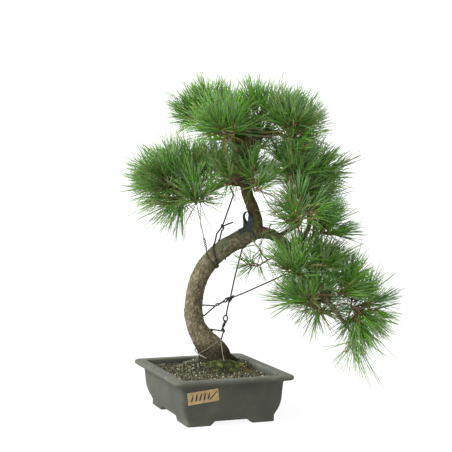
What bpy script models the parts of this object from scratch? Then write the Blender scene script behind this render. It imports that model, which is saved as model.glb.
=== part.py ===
"""A Japanese black pine grown as a bonsai, with its guy wires and its rectangular pot.

Metres, +Z up. The pot's short side runs along X and its front faces -Y. The tree grows in
a plane turned by TREE_TURN from X, so limbs and foliage are given in millimetres across
that plane, behind it and above the ground, from the middle of the pot's underside.
"""

import math
import random

import bmesh
import bpy
import numpy as np
from mathutils import Matrix, Vector

MM = 0.001
CLEARANCE = 0.3 * MM
UP = Vector((0, 0, 1))

# The tree reaches further to one side than its pot, so the middle of the whole plant's
# box, where the origin is, lies beside the middle of the pot.
POT_CENTRE = Vector((-114 * MM, -45 * MM, 0))

# Pot: sizes at the rim, and insets from the rim's outer edge at each height
POT_WIDTH = 235 * MM
POT_DEPTH = 301 * MM
POT_HEIGHT = 89 * MM
RIM_CORNER = 15 * MM
LEAST_CORNER = 6 * MM
CORNER_STEPS = 3
UNDERSIDE = 8 * MM
OUTER_PROFILE = ((31, 0), (31, 11), (28.5, 17), (24, 26), (20.2, 39), (18.4, 55), (16.8, 73),
                 (14, 78.5), (3, 80.5), (0.6, 82), (0, 84.5), (0.4, 87.6), (2.2, 89))
INNER_PROFILE = ((20.5, 89), (22, 88.2), (22.8, 78), (24.6, 50), (29, 26), (36, 16))
FOOT_ALONG_X = 45 * MM
FOOT_ALONG_Y = 66 * MM
FOOT_CHAMFER = 9 * MM
FOOT_LEG = 19 * MM

# Soil: level along the walls, with a mound under the tree
SOIL_EDGE = 78 * MM
SOIL_TOP = 92 * MM
MOUND_FLAT = 46 * MM
MOUND_FOOT = 84 * MM
SOIL_RINGS = 5

# Moss cushions on the mound: middle in X and Y, half lengths, turn and thickness
MOSS_PADS = {
    "moss_green": (Vector((37, 5, 0)) * MM, 25 * MM, 20 * MM, -14, 7 * MM),
    "moss_orange": (Vector((73, -6, 0)) * MM, 20 * MM, 8 * MM, -69, 5 * MM),
}

# Paper label: its middle on the front wall, its size and its tilt
LABEL_X = -60.5 * MM
LABEL_Z = 58 * MM
LABEL_SIZE = (60 * MM, 0.6 * MM, 23.5 * MM)
LABEL_TILT = 6

# Tree: the plane that it grows in
TREE_TURN = -19.5
TREE_DEPTH = 53
TREE_CENTRE = (10, 0)

# Trunk: across, above the ground and radius, from the flat cut at the soil to the fork
TRUNK = ((6, 92.3, 31), (3.5, 106, 28.2), (-6.5, 124, 24.8), (-20, 143, 21), (-30.5, 163, 18.8),
         (-35.6, 188, 17.5), (-34, 222, 17.3), (-26.5, 253, 17.3), (-10.6, 283, 17.4),
         (13.4, 309, 17.4), (41, 328, 17.3), (70, 343.5, 16.8), (86, 352, 15), (95, 357, 10))
TRUNK_SIDES = 12
# Root flare: direction round the trunk, share of the radius and width of each root
ROOTS = ((-8, 0.26, 34), (115, 0.10, 40), (205, 0.12, 36), (290, 0.16, 30))
FLARE_TOP = 150

# Boughs: the limb that each leaves, its points across, behind and above, and its radii
BOUGHS = {
    "leader": ("trunk", ((86, 0, 350), (89, 0, 374), (81, 1, 402), (70, 2, 432), (67, 4, 462),
                         (71, 3, 502), (76, 0, 546)), 14, 6.5),
    "bough_right": ("trunk", ((82, 0, 349), (108, -1, 349), (130, -3, 341), (153, -4, 321),
                              (163, -4, 288)), 13, 6.5),
    "bough_cascade": ("bough_right", ((154, -4, 316), (184, -8, 294), (208, -6, 262),
                                      (230, -2, 216), (256, 0, 184)), 7.5, 4.6),
    "bough_cascade_tip": ("bough_cascade", ((246, 0, 197), (262, 3, 174), (272, 4, 160)), 4.4, 3),
    "bough_rising": ("bough_right", ((147, -4, 324), (179, -15, 338), (193, -22, 364),
                                     (192, -21, 394), (181, -16, 424)), 5.4, 3.6),
    "bough_outer": ("bough_right", ((148, -4, 323), (172, 10, 336), (192, 14, 334)), 4.6, 3.2),
    "bough_left": ("leader", ((68, 4, 452), (30, -4, 449), (-4, -8, 434), (-40, -8, 424),
                              (-68, -5, 421)), 6.4, 3.4),
    "bough_apex_right": ("leader", ((75, 0, 530), (104, -8, 548), (134, -13, 546)), 5.5, 3.8),
    "bough_apex_left": ("leader", ((73, 1, 518), (40, 6, 536), (10, 8, 552)), 5, 3.4),
    "bough_upper_right": ("leader", ((68, 4, 470), (104, 18, 480), (136, 22, 474),
                                     (166, 20, 462)), 5.8, 3.6),
    "bough_back": ("leader", ((67, 4, 446), (64, 46, 462), (56, 92, 468)), 5.8, 3.6),
    "bough_front": ("leader", ((72, 2, 500), (62, -32, 506), (50, -60, 512)), 5, 3.4),
    "bough_back_right": ("bough_right", ((132, -3, 337), (152, 36, 350), (180, 74, 362)), 5, 3.4),
}
THICK_BOUGH = 9
# A bough nearly as thick as its parent starts thinner, so that its end stays inside it
THICK_SHARE = 0.7
HIDDEN_START = 0.5
BOUGH_SIDES = (6, 10)
PATH_STEPS = 2

# Foliage: the limb that each mass grows on and the share along it, the mass's heart and
# heading, and how many shoots it has
MASSES = {
    "apex_left": ("bough_apex_left", 1.0, (-2, 8, 602), (-0.49, 0.05, 0.87), 4),
    "apex_crest": ("bough_apex_left", 0.55, (22, 4, 574), (0.04, 0.05, 1.0), 3),
    "apex_front": ("bough_front", 1.0, (30, -68, 550), (-0.49, -0.2, 0.85), 4),
    "apex_middle": ("leader", 1.0, (130, 2, 578), (0.54, 0.0, 0.84), 4),
    "apex_right": ("bough_apex_right", 1.0, (162, -14, 536), (0.25, -0.05, 0.97), 5),
    "apex_side": ("bough_apex_right", 0.75, (140, -4, 512), (0.91, 0.0, 0.41), 3),
    "apex_back": ("leader", 0.86, (90, 66, 524), (0.02, 0.61, 0.79), 4),
    "left_tip": ("bough_left", 1.0, (-68, -18, 460), (-0.59, -0.1, 0.8), 4),
    "left_low": ("bough_left", 0.88, (-96, 12, 442), (-1.0, 0.0, 0.1), 4),
    "left_under": ("bough_left", 0.72, (-58, -8, 420), (-0.25, -0.1, -0.96), 3),
    "left_upper": ("bough_left", 0.8, (-56, 2, 464), (0.06, 0.1, 0.99), 3),
    "left_inner": ("bough_left", 0.45, (8, -6, 464), (-0.21, 0.0, 0.98), 3),
    "left_front": ("bough_left", 0.66, (-30, -56, 408), (-0.09, -0.78, 0.62), 3),
    "left_back": ("bough_left", 0.6, (-54, 60, 418), (-0.3, 0.81, 0.51), 3),
    "centre_front": ("leader", 0.6, (86, -46, 432), (0.45, -0.5, 0.74), 3),
    "centre_left": ("leader", 0.66, (50, -16, 446), (-0.66, -0.15, 0.73), 3),
    "centre_back": ("bough_back", 1.0, (58, 118, 450), (-0.14, 0.82, 0.55), 4),
    "right_inner": ("bough_rising", 1.0, (154, -20, 462), (-0.05, -0.2, 0.98), 3),
    "right_upper": ("bough_upper_right", 1.0, (200, 14, 464), (0.7, 0.0, 0.71), 4),
    "right_outer": ("bough_upper_right", 0.85, (200, 8, 408), (0.84, 0.0, 0.54), 4),
    "right_low": ("bough_outer", 1.0, (204, 8, 362), (0.71, 0.0, 0.71), 4),
    "right_front": ("bough_rising", 0.8, (164, -70, 376), (0.41, -0.82, 0.41), 3),
    "right_root": ("bough_rising", 0.3, (174, -26, 374), (-0.46, -0.2, 0.86), 2),
    "right_back": ("bough_back_right", 1.0, (184, 100, 402), (0.41, 0.82, 0.41), 4),
    "cascade_root": ("bough_cascade", 0.2, (174, -42, 264), (-0.23, -0.62, 0.75), 3),
    "cascade_inner": ("bough_cascade", 0.62, (202, -16, 200), (-0.73, -0.1, 0.67), 4),
    "cascade_upper": ("bough_cascade", 0.42, (200, 6, 270), (0.54, 0.0, 0.84), 4),
    "cascade_middle": ("bough_cascade", 0.66, (264, -8, 220), (0.86, -0.1, 0.5), 3),
    "cascade_outer": ("bough_cascade", 0.88, (304, 0, 190), (0.74, 0.0, -0.67), 5),
    "cascade_tip": ("bough_cascade_tip", 1.0, (284, 4, 144), (0.42, 0.0, -0.91), 3),
    "cascade_back": ("bough_cascade", 0.58, (224, 60, 180), (0.4, 0.91, -0.1), 3),
    "inner_sprig": ("bough_right", 0.8, (92, -16, 284), (-0.98, -0.11, 0.16), 2),
}
STEM_RADIUS = 2.4
SUNK_START = 0.6
TWIG_RADIUS = 1.9
TWIG_TAPER = 0.45
FAN_TILT = (38, 62)
FAN_REACH = 24
GOLDEN_ANGLE = 137.5
TWIG_MARGIN = 3.5
LEAST_APART = 10
# How far a shoot turns from its twig's way to its mass's heading, and upwards
HEADING_SHARE = 0.35
LIFT_SHARE = 0.35

# Shoots: a slim core with a needle drawn out of each of its faces; a mass's first shoot
# has more sides than its other ones
CORE_LENGTH = 18
CORE_ROOT = 1.5
CORE_RINGS = ((0.0, 2.2), (0.5, 3.2), (1.0, 2.0))
CORE_WIDTH = 3.3
CORE_SLACK = 0.2
CORE_SIDES = (6, 5)
NEEDLE_LENGTH = 70
NEEDLE_SPREAD = (66, 14)
NEEDLE_JITTER = 6
NEEDLE_LEAST = 0.5
NEEDLE_TESTS = 24
SPACE_MARGIN = 1.6
LIMB_MARGIN = 2.2

# Guy wires: each holds a bough down to the trunk, and is given by the points that it
# passes; a pair of a limb's name and (share along it, angle, angle) is a turn round it
WIRE_RADIUS = 1.0
WIRE_SIDES = 4

# Rubber strap round the trunk beside the leader: width and thickness of its pad, its band
# and its loop, where they lie along the trunk, and the loop's size and turn
STRAP_PAD = (15, 5, 0.825, 0.885)
STRAP_BAND = (3.4, 1.6, 0.885, 0.905)
STRAP_RIBBON = (12, 1.6)
STRAP_LOOP = (17, 33, 60)

SEED = 1706


def tree_point(across, behind, above):
    """A place given in millimetres in the tree's plane, from the middle of the pot."""
    turn = Matrix.Rotation(math.radians(TREE_TURN), 3, "Z")
    return turn @ Vector((across, behind + TREE_DEPTH, above)) * MM


def tree_direction(across, behind, above):
    turn = Matrix.Rotation(math.radians(TREE_TURN), 3, "Z")
    return (turn @ Vector((across, behind, above))).normalized()


def make_material(name, colour, roughness, metallic=0.0):
    material = bpy.data.materials.new(name)
    material.diffuse_color = (*colour, 1)
    material.use_nodes = True
    shader = material.node_tree.nodes["Principled BSDF"]
    shader.inputs["Base Color"].default_value = (*colour, 1)
    shader.inputs["Roughness"].default_value = roughness
    shader.inputs["Metallic"].default_value = metallic
    return material


def add_object(name, bm, material, smooth=True):
    """A named object made of a bmesh, standing on the plant's empty."""
    bmesh.ops.triangulate(bm, faces=[face for face in bm.faces if len(face.verts) == 4])
    bmesh.ops.recalc_face_normals(bm, faces=bm.faces)
    mesh = bpy.data.meshes.new(name)
    bm.to_mesh(mesh)
    bm.free()
    if smooth:
        mesh.shade_smooth()
        mesh.set_sharp_from_angle(angle=math.radians(35))
    mesh.materials.append(material)
    obj = bpy.data.objects.new(name, mesh)
    bpy.context.scene.collection.objects.link(obj)
    obj.parent = PLANT
    return obj


def loft(bm, rings, close_ends=True):
    """Joins rings of equally many points, and closes the first and the last."""
    loops = [[bm.verts.new(point) for point in ring] for ring in rings]
    for low, high in zip(loops, loops[1:]):
        for i, corner in enumerate(low):
            j = (i + 1) % len(low)
            bm.faces.new((corner, low[j], high[j], high[i]))
    if close_ends:
        bm.faces.new(reversed(loops[0]))
        bm.faces.new(loops[-1])
    return loops


def hide_cutter(cutter):
    cutter.hide_render = True
    cutter.display_type = "WIRE"


def cut(obj, cutter):
    hide_cutter(cutter)
    modifier = obj.modifiers.new("Cut " + cutter.name, "BOOLEAN")
    modifier.operation = "DIFFERENCE"
    modifier.object = cutter


# Paths and tubes


def smooth_path(points, steps=PATH_STEPS):
    """Points and radii along a smooth curve through (point, radius) pairs."""
    rows = [Vector((*point, radius)) for point, radius in points]
    rows = [rows[0] * 2 - rows[1]] + rows + [rows[-1] * 2 - rows[-2]]
    path = []
    for a, b, c, d in zip(rows, rows[1:], rows[2:], rows[3:]):
        for step in range(steps):
            t = step / steps
            path.append(0.5 * (2 * b + (c - a) * t + (2 * a - 5 * b + 4 * c - d) * t ** 2
                               + (3 * b - a - 3 * c + d) * t ** 3))
    path.append(rows[-2])
    return [(Vector(row[:3]), row[3]) for row in path]


def frames_along(path, first_tangent=None):
    """(middle, radius, tangent, side, lift) along a path, turning as little as it can."""
    places = [place for place, _ in path]
    side = None
    frames = []
    for i, (place, radius) in enumerate(path):
        tangent = (places[min(i + 1, len(places) - 1)] - places[max(i - 1, 0)]).normalized()
        if i == 0 and first_tangent is not None:
            tangent = first_tangent
        if side is None:
            level = tangent.cross(UP) if abs(tangent.z) < 0.95 else tangent.cross(Vector((0, -1, 0)))
            side = level.normalized()
        side = (side - tangent * side.dot(tangent)).normalized()
        frames.append((place, radius, tangent, side, tangent.cross(side)))
    return frames


def ring_round(frame, sides, grow=0.0, shape=None):
    place, radius, _, side, lift = frame
    ring = []
    for i in range(sides):
        angle = math.tau * i / sides
        outward = side * math.cos(angle) + lift * math.sin(angle)
        swell = shape(place, outward) if shape else 1.0
        ring.append(place + outward * (radius * swell + grow))
    return ring


def tube(name, path, sides, material, grow=0.0, shape=None, first_tangent=None):
    bm = bmesh.new()
    frames = frames_along(path, first_tangent)
    loft(bm, [ring_round(frame, sides, grow, shape) for frame in frames])
    return add_object(name, bm, material)


def bezier(start, bend, end, count):
    return [start * (1 - t) ** 2 + bend * 2 * t * (1 - t) + end * t ** 2
            for t in (i / count for i in range(count + 1))]


# Pot, soil, moss and label


def pot_ring(inset, height):
    """A rounded rectangle, inset from the outer edge of the rim."""
    corner = max(RIM_CORNER - inset * 0.3, LEAST_CORNER)
    half_x, half_y = POT_WIDTH / 2 - inset - corner, POT_DEPTH / 2 - inset - corner
    ring = []
    for sign_x, sign_y, start in ((1, 1, 0), (-1, 1, 90), (-1, -1, 180), (1, -1, 270)):
        for step in range(CORNER_STEPS + 1):
            angle = math.radians(start + 90 * step / CORNER_STEPS)
            ring.append(Vector((sign_x * half_x + corner * math.cos(angle),
                                sign_y * half_y + corner * math.sin(angle), height)))
    return ring


def foot_cutter(name, half_foot, leg_end, along_x):
    """A channel with sloping ends, which leaves a foot at each end of a side."""
    bm = bmesh.new()
    reach = POT_DEPTH
    profile = ((-leg_end, -UNDERSIDE), (leg_end, -UNDERSIDE), (leg_end, 0),
               (half_foot, UNDERSIDE), (-half_foot, UNDERSIDE), (-leg_end, 0))
    rings = []
    for far in (-reach, reach):
        rings.append([Vector((across, far, z) if along_x else (far, across, z))
                      for across, z in profile])
    loft(bm, rings)
    return add_object(name, bm, CERAMIC, smooth=False)


def make_pot():
    bm = bmesh.new()
    profile = OUTER_PROFILE + INNER_PROFILE
    loft(bm, [pot_ring(inset * MM, height * MM) for inset, height in profile])
    pot = add_object("pot", bm, CERAMIC)
    foot_inset = OUTER_PROFILE[0][0] * MM
    half_x = POT_WIDTH / 2 - foot_inset
    half_y = POT_DEPTH / 2 - foot_inset
    end_x, end_y = half_x - FOOT_ALONG_X, half_y - FOOT_ALONG_Y
    cut(pot, foot_cutter("cut_front_to_back", end_x - FOOT_CHAMFER, end_x, True))
    cut(pot, foot_cutter("cut_side_to_side", end_y - FOOT_CHAMFER, end_y, False))
    bm = bmesh.new()
    bmesh.ops.create_cube(bm, size=1)
    inside = Matrix.Diagonal((2 * (half_x - FOOT_LEG), 2 * (half_y - FOOT_LEG), 2 * UNDERSIDE, 1))
    bmesh.ops.transform(bm, matrix=inside, verts=bm.verts)
    cut(pot, add_object("cut_between_feet", bm, CERAMIC, smooth=False))


def soil_height(point):
    """Height of the soil: level at the walls and rising to the flat top of the mound."""
    middle = tree_point(*TREE_CENTRE, 0)
    share = (Vector((point.x, point.y)) - Vector((middle.x, middle.y))).length
    share = min(max((MOUND_FOOT - share) / (MOUND_FOOT - MOUND_FLAT), 0), 1)
    return SOIL_EDGE + (SOIL_TOP - SOIL_EDGE) * share * share * (3 - 2 * share)


def soil_mesh():
    middle = tree_point(*TREE_CENTRE, 0)
    floor = INNER_PROFILE[-1][1] * MM
    rings = []
    for inset, height in reversed(INNER_PROFILE[3:]):
        z = max(height * MM, floor + CLEARANCE)
        rings.append(pot_ring(inset * MM + 1.4 * CLEARANCE, z))
    wall = INNER_PROFILE[2][0] * MM + 1.4 * CLEARANCE
    rings.append(pot_ring(wall, SOIL_EDGE - 2 * MM))
    for i in range(SOIL_RINGS + 1):
        share = i / SOIL_RINGS
        ring = []
        for point in pot_ring(wall + MM, SOIL_EDGE):
            spot = point - Vector((middle.x, middle.y, 0))
            spot.z = 0
            narrow = spot.normalized() * MOUND_FLAT * 0.6
            spot = Vector((middle.x, middle.y, 0)) + spot.lerp(narrow, share)
            spot.z = soil_height(spot)
            ring.append(spot)
        rings.append(ring)
    bm = bmesh.new()
    loft(bm, rings)
    return bm


def make_moss(name, middle, long_half, short_half, turn, thickness, material):
    """A low cushion that follows the slope under it."""
    around = 11
    spin = Matrix.Rotation(math.radians(turn), 3, "Z")
    rng = random.Random(SEED + len(name))
    edge = [rng.uniform(0.86, 1.1) for _ in range(around)]
    loops = []
    for share, lift in ((1, -3 * MM), (1, MM), (2 / 3, None), (1 / 3, None), (0.1, None)):
        loop = []
        for i in range(around):
            angle = math.tau * i / around
            flat = Vector((long_half * math.cos(angle), short_half * math.sin(angle), 0))
            spot = middle + spin @ flat * share * edge[i]
            rise = MM + thickness * (1 - share ** 2) ** 0.8 if lift is None else lift
            spot.z = soil_height(spot) + rise
            loop.append(spot)
        loops.append(loop)
    bm = bmesh.new()
    loft(bm, loops)
    pad = add_object(name, bm, material)
    cut(pad, inflated("trunk", "cut_" + name + "_by_trunk"))
    raised = add_object("cut_" + name + "_by_soil", soil_mesh(), SOIL)
    raised.location.z = CLEARANCE
    cut(pad, raised)


def make_label():
    """A strip of paper stuck on the front wall, which leans out a little."""
    bm = bmesh.new()
    bmesh.ops.create_cube(bm, size=1)
    bmesh.ops.transform(bm, matrix=Matrix.Diagonal((*LABEL_SIZE, 1)), verts=bm.verts)
    label = add_object("label", bm, PAPER, smooth=False)
    (low_inset, low), (high_inset, high) = OUTER_PROFILE[5:7]
    lean = math.atan2(low_inset - high_inset, high - low)
    share = (LABEL_Z / MM - low) / (high - low)
    inset = (low_inset + (high_inset - low_inset) * share) * MM
    off = LABEL_SIZE[1] / 2 + 1.5 * CLEARANCE
    label.location = Vector((LABEL_X, -POT_DEPTH / 2 + inset - off, LABEL_Z))
    tilt = Matrix.Rotation(math.radians(-LABEL_TILT), 3, "Y")
    label.rotation_euler = (Matrix.Rotation(lean, 3, "X") @ tilt).to_euler()


# Limbs


def root_swell(place, outward):
    """How far the roots push the foot of the trunk out on one side."""
    height = place.z / MM
    fade = min(max((FLARE_TOP - height) / (FLARE_TOP - TRUNK[0][1]), 0), 1) ** 1.5
    turn = Matrix.Rotation(math.radians(-TREE_TURN), 3, "Z")
    flat = turn @ outward
    angle = math.degrees(math.atan2(flat.y, flat.x))
    swell = 1.0
    for heading, share, width in ROOTS:
        off = (angle - heading + 180) % 360 - 180
        swell += share * fade * math.exp(-(off / width) ** 2)
    return swell


def nearest_on(path, point):
    return min(path, key=lambda row: (row[0] - point).length)


def plan_limbs():
    """The smooth path of the trunk and of each bough, which starts on its parent's axis."""
    paths = {"trunk": smooth_path([(tree_point(across, 0, above), radius * MM)
                                   for across, above, radius in TRUNK])}
    for name, (parent, points, thick, thin) in BOUGHS.items():
        places = [tree_point(*point) for point in points]
        places[0], parent_radius = nearest_on(paths[parent], places[0])
        last = len(places) - 1
        radii = [(thick + (thin - thick) * i / last) * MM for i in range(last + 1)]
        if radii[0] > THICK_SHARE * parent_radius:
            radii[0] *= HIDDEN_START
        paths[name] = smooth_path(list(zip(places, radii)))
    return paths


def limb_sides(name):
    if name == "trunk":
        return TRUNK_SIDES
    return BOUGH_SIDES[BOUGHS[name][2] >= THICK_BOUGH]


def limb_tube(name, object_name, grow=0.0):
    is_trunk = name == "trunk"
    return tube(object_name, LIMBS[name], limb_sides(name), BARK, grow,
                root_swell if is_trunk else None, UP if is_trunk else None)


def inflated(name, object_name):
    return limb_tube(name, object_name, grow=CLEARANCE)


def neighbours(name):
    """The limbs that a bough's foot is cut clear of: its parent, and any beside it there."""
    parent = BOUGHS[name][0]
    foot, radius = LIMBS[name][1]
    found = [parent]
    for other in BOUGHS:
        if other == name:
            break
        if BOUGHS[other][0] == parent:
            place, other_radius = nearest_on(LIMBS[other], foot)
            if (place - foot).length < 2 * (radius + other_radius):
                found.append(other)
    return found


def make_limbs():
    for name in LIMBS:
        limb = limb_tube(name, name)
        for other in neighbours(name) if name in BOUGHS else []:
            cut(limb, inflated(other, f"cut_{name}_by_{other}"))


# Foliage


class Skeleton:
    """The stem, twigs and shoots of one mass, before its needles."""

    def __init__(self, out):
        self.out = out
        self.twigs = []
        self.shoots = []
        self.core_lines = []

    def branches(self):
        return [pair for twig in self.twigs for pair in zip(twig, twig[1:])]

    def cores(self):
        if not self.core_lines:
            self.core_lines = [(base, base + direction * CORE_LENGTH * MM)
                               for base, direction in self.shoots]
        return self.core_lines


def along_limb(limb, share):
    """The middle, radius and direction of a limb at a share of the way along it."""
    path = LIMBS[limb]
    at = min(max(share, 0), 1) * (len(path) - 1)
    index = min(int(at), len(path) - 2)
    (low, low_radius), (high, high_radius) = path[index], path[index + 1]
    part = at - index
    return low.lerp(high, part), low_radius + (high_radius - low_radius) * part, (high - low).normalized()


def stem_start(limb, share, heart):
    """Where a stem starts: just past its limb's tip, or in its side towards the heart.

    A stem that starts in the side is cut clear of the limb once its mass is joined.
    """
    place, radius, along = along_limb(limb, share)
    if share == 1.0:
        return place + along * CLEARANCE, along
    out = heart - place
    out = (out - along * out.dot(along)).normalized()
    return place + out * radius * SUNK_START, out


def fan_direction(heading, index, rng):
    """Directions spread round a heading by the golden angle, the first one along it."""
    if index == 0:
        return heading
    around = Matrix.Rotation(math.radians(GOLDEN_ANGLE * index + rng.uniform(-20, 20)), 3, heading)
    sideways = heading.cross(UP if abs(heading.z) < 0.9 else Vector((0, 1, 0))).normalized()
    tilt = math.radians(rng.uniform(*FAN_TILT))
    return (heading * math.cos(tilt) + around @ sideways * math.sin(tilt)).normalized()


def is_clear(points, fixed, others):
    """Whether a twig through these points keeps away from limbs, wires and other masses."""
    samples = np.array([tuple(point) for point in points])
    pairs, radii = fixed
    if (distances(samples, as_arrays(pairs)) - np.array(radii)).min() < TWIG_MARGIN * MM:
        return False
    return not others or distances(samples, as_arrays(others)).min() > 2 * TWIG_MARGIN * MM


def grow_skeleton(name, fixed, others):
    """A stem to the heart of the mass, with a twig and a shoot for each direction.

    A twig that would touch a limb, a wire or another mass is left out.
    """
    limb, share, heart, heading, count = MASSES[name]
    rng = random.Random(f"{SEED} {name}")
    heart = tree_point(*heart)
    heading = tree_direction(*heading)
    start, out = stem_start(limb, share, heart)
    skeleton = Skeleton(out)
    reach = (heart - start).length
    stem = bezier(start, start + out * reach * 0.45, heart, 4)
    skeleton.twigs.append(stem)
    skeleton.shoots.append((heart, heading))
    index = 0
    while len(skeleton.shoots) < count and index < 3 * count:
        index += 1
        direction = fan_direction(heading, index, rng)
        fork = stem[2] if reach > 2 * FAN_REACH * MM else stem[3]
        root = fork.lerp(heart, rng.uniform(0.0, 0.6))
        tip = root + direction * FAN_REACH * MM * rng.uniform(0.8, 1.1)
        facing = (direction + heading * HEADING_SHARE + UP * LIFT_SHARE).normalized()
        twig = bezier(root, root.lerp(tip, 0.5) + heading * 5 * MM, tip, 2)
        ends = [tip + facing * CORE_LENGTH * MM * share for share in (0.5, 1.0)]
        own = [base for base, _ in skeleton.shoots] + [base + way * CORE_LENGTH * MM
                                                       for base, way in skeleton.shoots]
        apart = min((tip - place).length for place in own)
        if apart > LEAST_APART * MM and is_clear(twig[1:] + ends, fixed, others):
            skeleton.twigs.append(twig)
            skeleton.shoots.append((tip, facing))
    return skeleton


def distances(points, segments):
    """The distance from each point to the nearest of the segments, as numpy arrays."""
    starts, ends = segments
    along = ends - starts
    length = np.maximum((along * along).sum(axis=1), 1e-12)
    offset = points[:, None, :] - starts[None]
    share = np.clip((offset * along).sum(axis=2) / length, 0, 1)
    return np.linalg.norm(offset - share[..., None] * along, axis=2)


def as_arrays(pairs):
    return (np.array([tuple(a) for a, _ in pairs]), np.array([tuple(b) for _, b in pairs]))


class Surroundings:
    """What the needles of one shoot have to keep clear of."""

    def __init__(self, skeletons, name, index, fixed):
        core = skeletons[name].cores()[index]
        self.own = as_arrays([core])
        rivals = [other for other in skeletons[name].cores() if other is not core]
        for other, skeleton in skeletons.items():
            if other != name:
                rivals += skeleton.cores() + skeleton.branches()
        self.others = as_arrays(rivals)
        pairs, radii = fixed
        self.fixed = as_arrays(pairs)
        self.fixed_radii = np.array(radii)

    def free_share(self, start, end):
        """How much of a needle from start to end stays in the mass's own space."""
        shares = np.linspace(0, 1, NEEDLE_TESTS + 1)[1:, None]
        points = np.array(start) + (np.array(end) - np.array(start)) * shares
        own = distances(points, self.own).min(axis=1)
        others = distances(points, self.others).min(axis=1)
        limbs = (distances(points, self.fixed) - self.fixed_radii).min(axis=1)
        free = (own + SPACE_MARGIN * MM < others) & (limbs > LIMB_MARGIN * MM)
        free &= points[:, 2] > SOIL_TOP * 0.2
        blocked = np.flatnonzero(~free)
        return shares[blocked[0] - 1, 0] if len(blocked) and blocked[0] else float(not len(blocked))


def fixed_segments(wires):
    """Every limb and wire as segments with a radius."""
    pairs, radii = [], []
    for path in list(LIMBS.values()) + [[(p, WIRE_RADIUS * MM) for p in wire] for wire in wires]:
        for (a, radius), (b, _) in zip(path, path[1:]):
            pairs.append((a, b))
            radii.append(radius)
    return pairs, radii


def core_tube(name, base, direction, sides):
    """The slim core of a shoot, each ring turned half a side from the one below."""
    side = direction.cross(UP if abs(direction.z) < 0.9 else Vector((0, 1, 0))).normalized()
    lift = direction.cross(side)
    rings = []
    for i, (share, radius) in enumerate(CORE_RINGS):
        middle = base + direction * share * CORE_LENGTH * MM
        turn = math.pi / sides * i
        rings.append([middle + (side * math.cos(a) + lift * math.sin(a)) * radius * MM
                      for a in (turn + math.tau * j / sides for j in range(sides))])
    bm = bmesh.new()
    loft(bm, rings)
    return add_object(name, bm, NEEDLES)


def faces_of_core(bm, base, direction):
    """The faces of one core in a joined mass, with its blunt end split into a fan."""
    found = []
    ends = []
    for face in bm.faces:
        spots = [vert.co - base for vert in face.verts]
        heights = [spot.dot(direction) / MM for spot in spots]
        width = max((spot / MM - direction * height).length for spot, height in zip(spots, heights))
        if width > CORE_WIDTH or min(heights) < -CORE_SLACK or max(heights) > CORE_LENGTH + CORE_SLACK:
            continue
        if min(heights) > CORE_LENGTH - CORE_SLACK:
            ends.append(face)
        elif max(heights) > CORE_SLACK:
            found.append(face)
    return found + bmesh.ops.poke(bm, faces=ends)["faces"]


def draw_needles(mesh, skeleton, rng, surroundings):
    """Draws a needle out of each face of each core, as far as its space is free."""
    bm = bmesh.new()
    bm.from_mesh(mesh)
    bm.normal_update()
    for (base, direction), around in zip(skeleton.shoots, surroundings):
        base = base - direction * CORE_ROOT * MM
        for face in faces_of_core(bm, base, direction):
            middle = face.calc_center_median()
            share = min(max((middle - base).dot(direction) / (CORE_LENGTH * MM), 0), 1)
            tilt = NEEDLE_SPREAD[0] + (NEEDLE_SPREAD[1] - NEEDLE_SPREAD[0]) * share
            tilt = math.radians(tilt + rng.uniform(-NEEDLE_JITTER, NEEDLE_JITTER))
            outward = middle - base
            outward = (outward - direction * outward.dot(direction)).normalized()
            heading = direction * math.cos(tilt) + outward * math.sin(tilt)
            length = NEEDLE_LENGTH * MM * rng.uniform(0.86, 1.04)
            share = around.free_share(middle, middle + heading * length)
            if share > NEEDLE_LEAST:
                tip = bmesh.ops.poke(bm, faces=[face])["verts"][0]
                tip.co = middle + heading * length * share
    bm.to_mesh(mesh)
    bm.free()


def twig_tube(name, points, radius, first_tangent=None):
    last = len(points) - 1
    path = [(point, radius * MM * (1 - TWIG_TAPER * i / last)) for i, point in enumerate(points)]
    return tube(name, path, 3, NEEDLES, first_tangent=first_tangent)


def drop_scraps(mesh):
    """Keeps the largest shell of faces that meet at edges, without hollows or loose scraps."""
    bm = bmesh.new()
    bm.from_mesh(mesh)
    left = set(bm.faces)
    shells = []
    while left:
        front = [left.pop()]
        shell = list(front)
        while front:
            for edge in front.pop().edges:
                for other in edge.link_faces if len(edge.link_faces) == 2 else ():
                    if other in left:
                        left.remove(other)
                        front.append(other)
                        shell.append(other)
        shells.append(shell)
    largest = max(shells, key=len)
    scraps = [face for shell in shells if shell is not largest for face in shell]
    bmesh.ops.delete(bm, geom=scraps, context="FACES")
    bm.to_mesh(mesh)
    bm.free()


def join_pieces(name, pieces, limbs=()):
    """Makes the first piece one solid with the others, cut clear of some limbs."""
    first = pieces[0]
    collection = bpy.data.collections.new(name + "_pieces")
    bpy.context.scene.collection.children.link(collection)
    for piece in pieces[1:]:
        bpy.context.scene.collection.objects.unlink(piece)
        collection.objects.link(piece)
    modifier = first.modifiers.new("Join", "BOOLEAN")
    modifier.operation = "UNION"
    modifier.operand_type = "COLLECTION"
    modifier.collection = collection
    cutters = [inflated(limb, f"cut_{name}_by_{limb}") for limb in limbs]
    for cutter in cutters:
        cut(first, cutter)
    graph = bpy.context.evaluated_depsgraph_get()
    mesh = bpy.data.meshes.new_from_object(first.evaluated_get(graph))
    first.modifiers.clear()
    first.data = mesh
    drop_scraps(mesh)
    first.name = name
    for piece in pieces[1:] + cutters:
        bpy.data.objects.remove(piece)
    bpy.data.collections.remove(collection)


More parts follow.
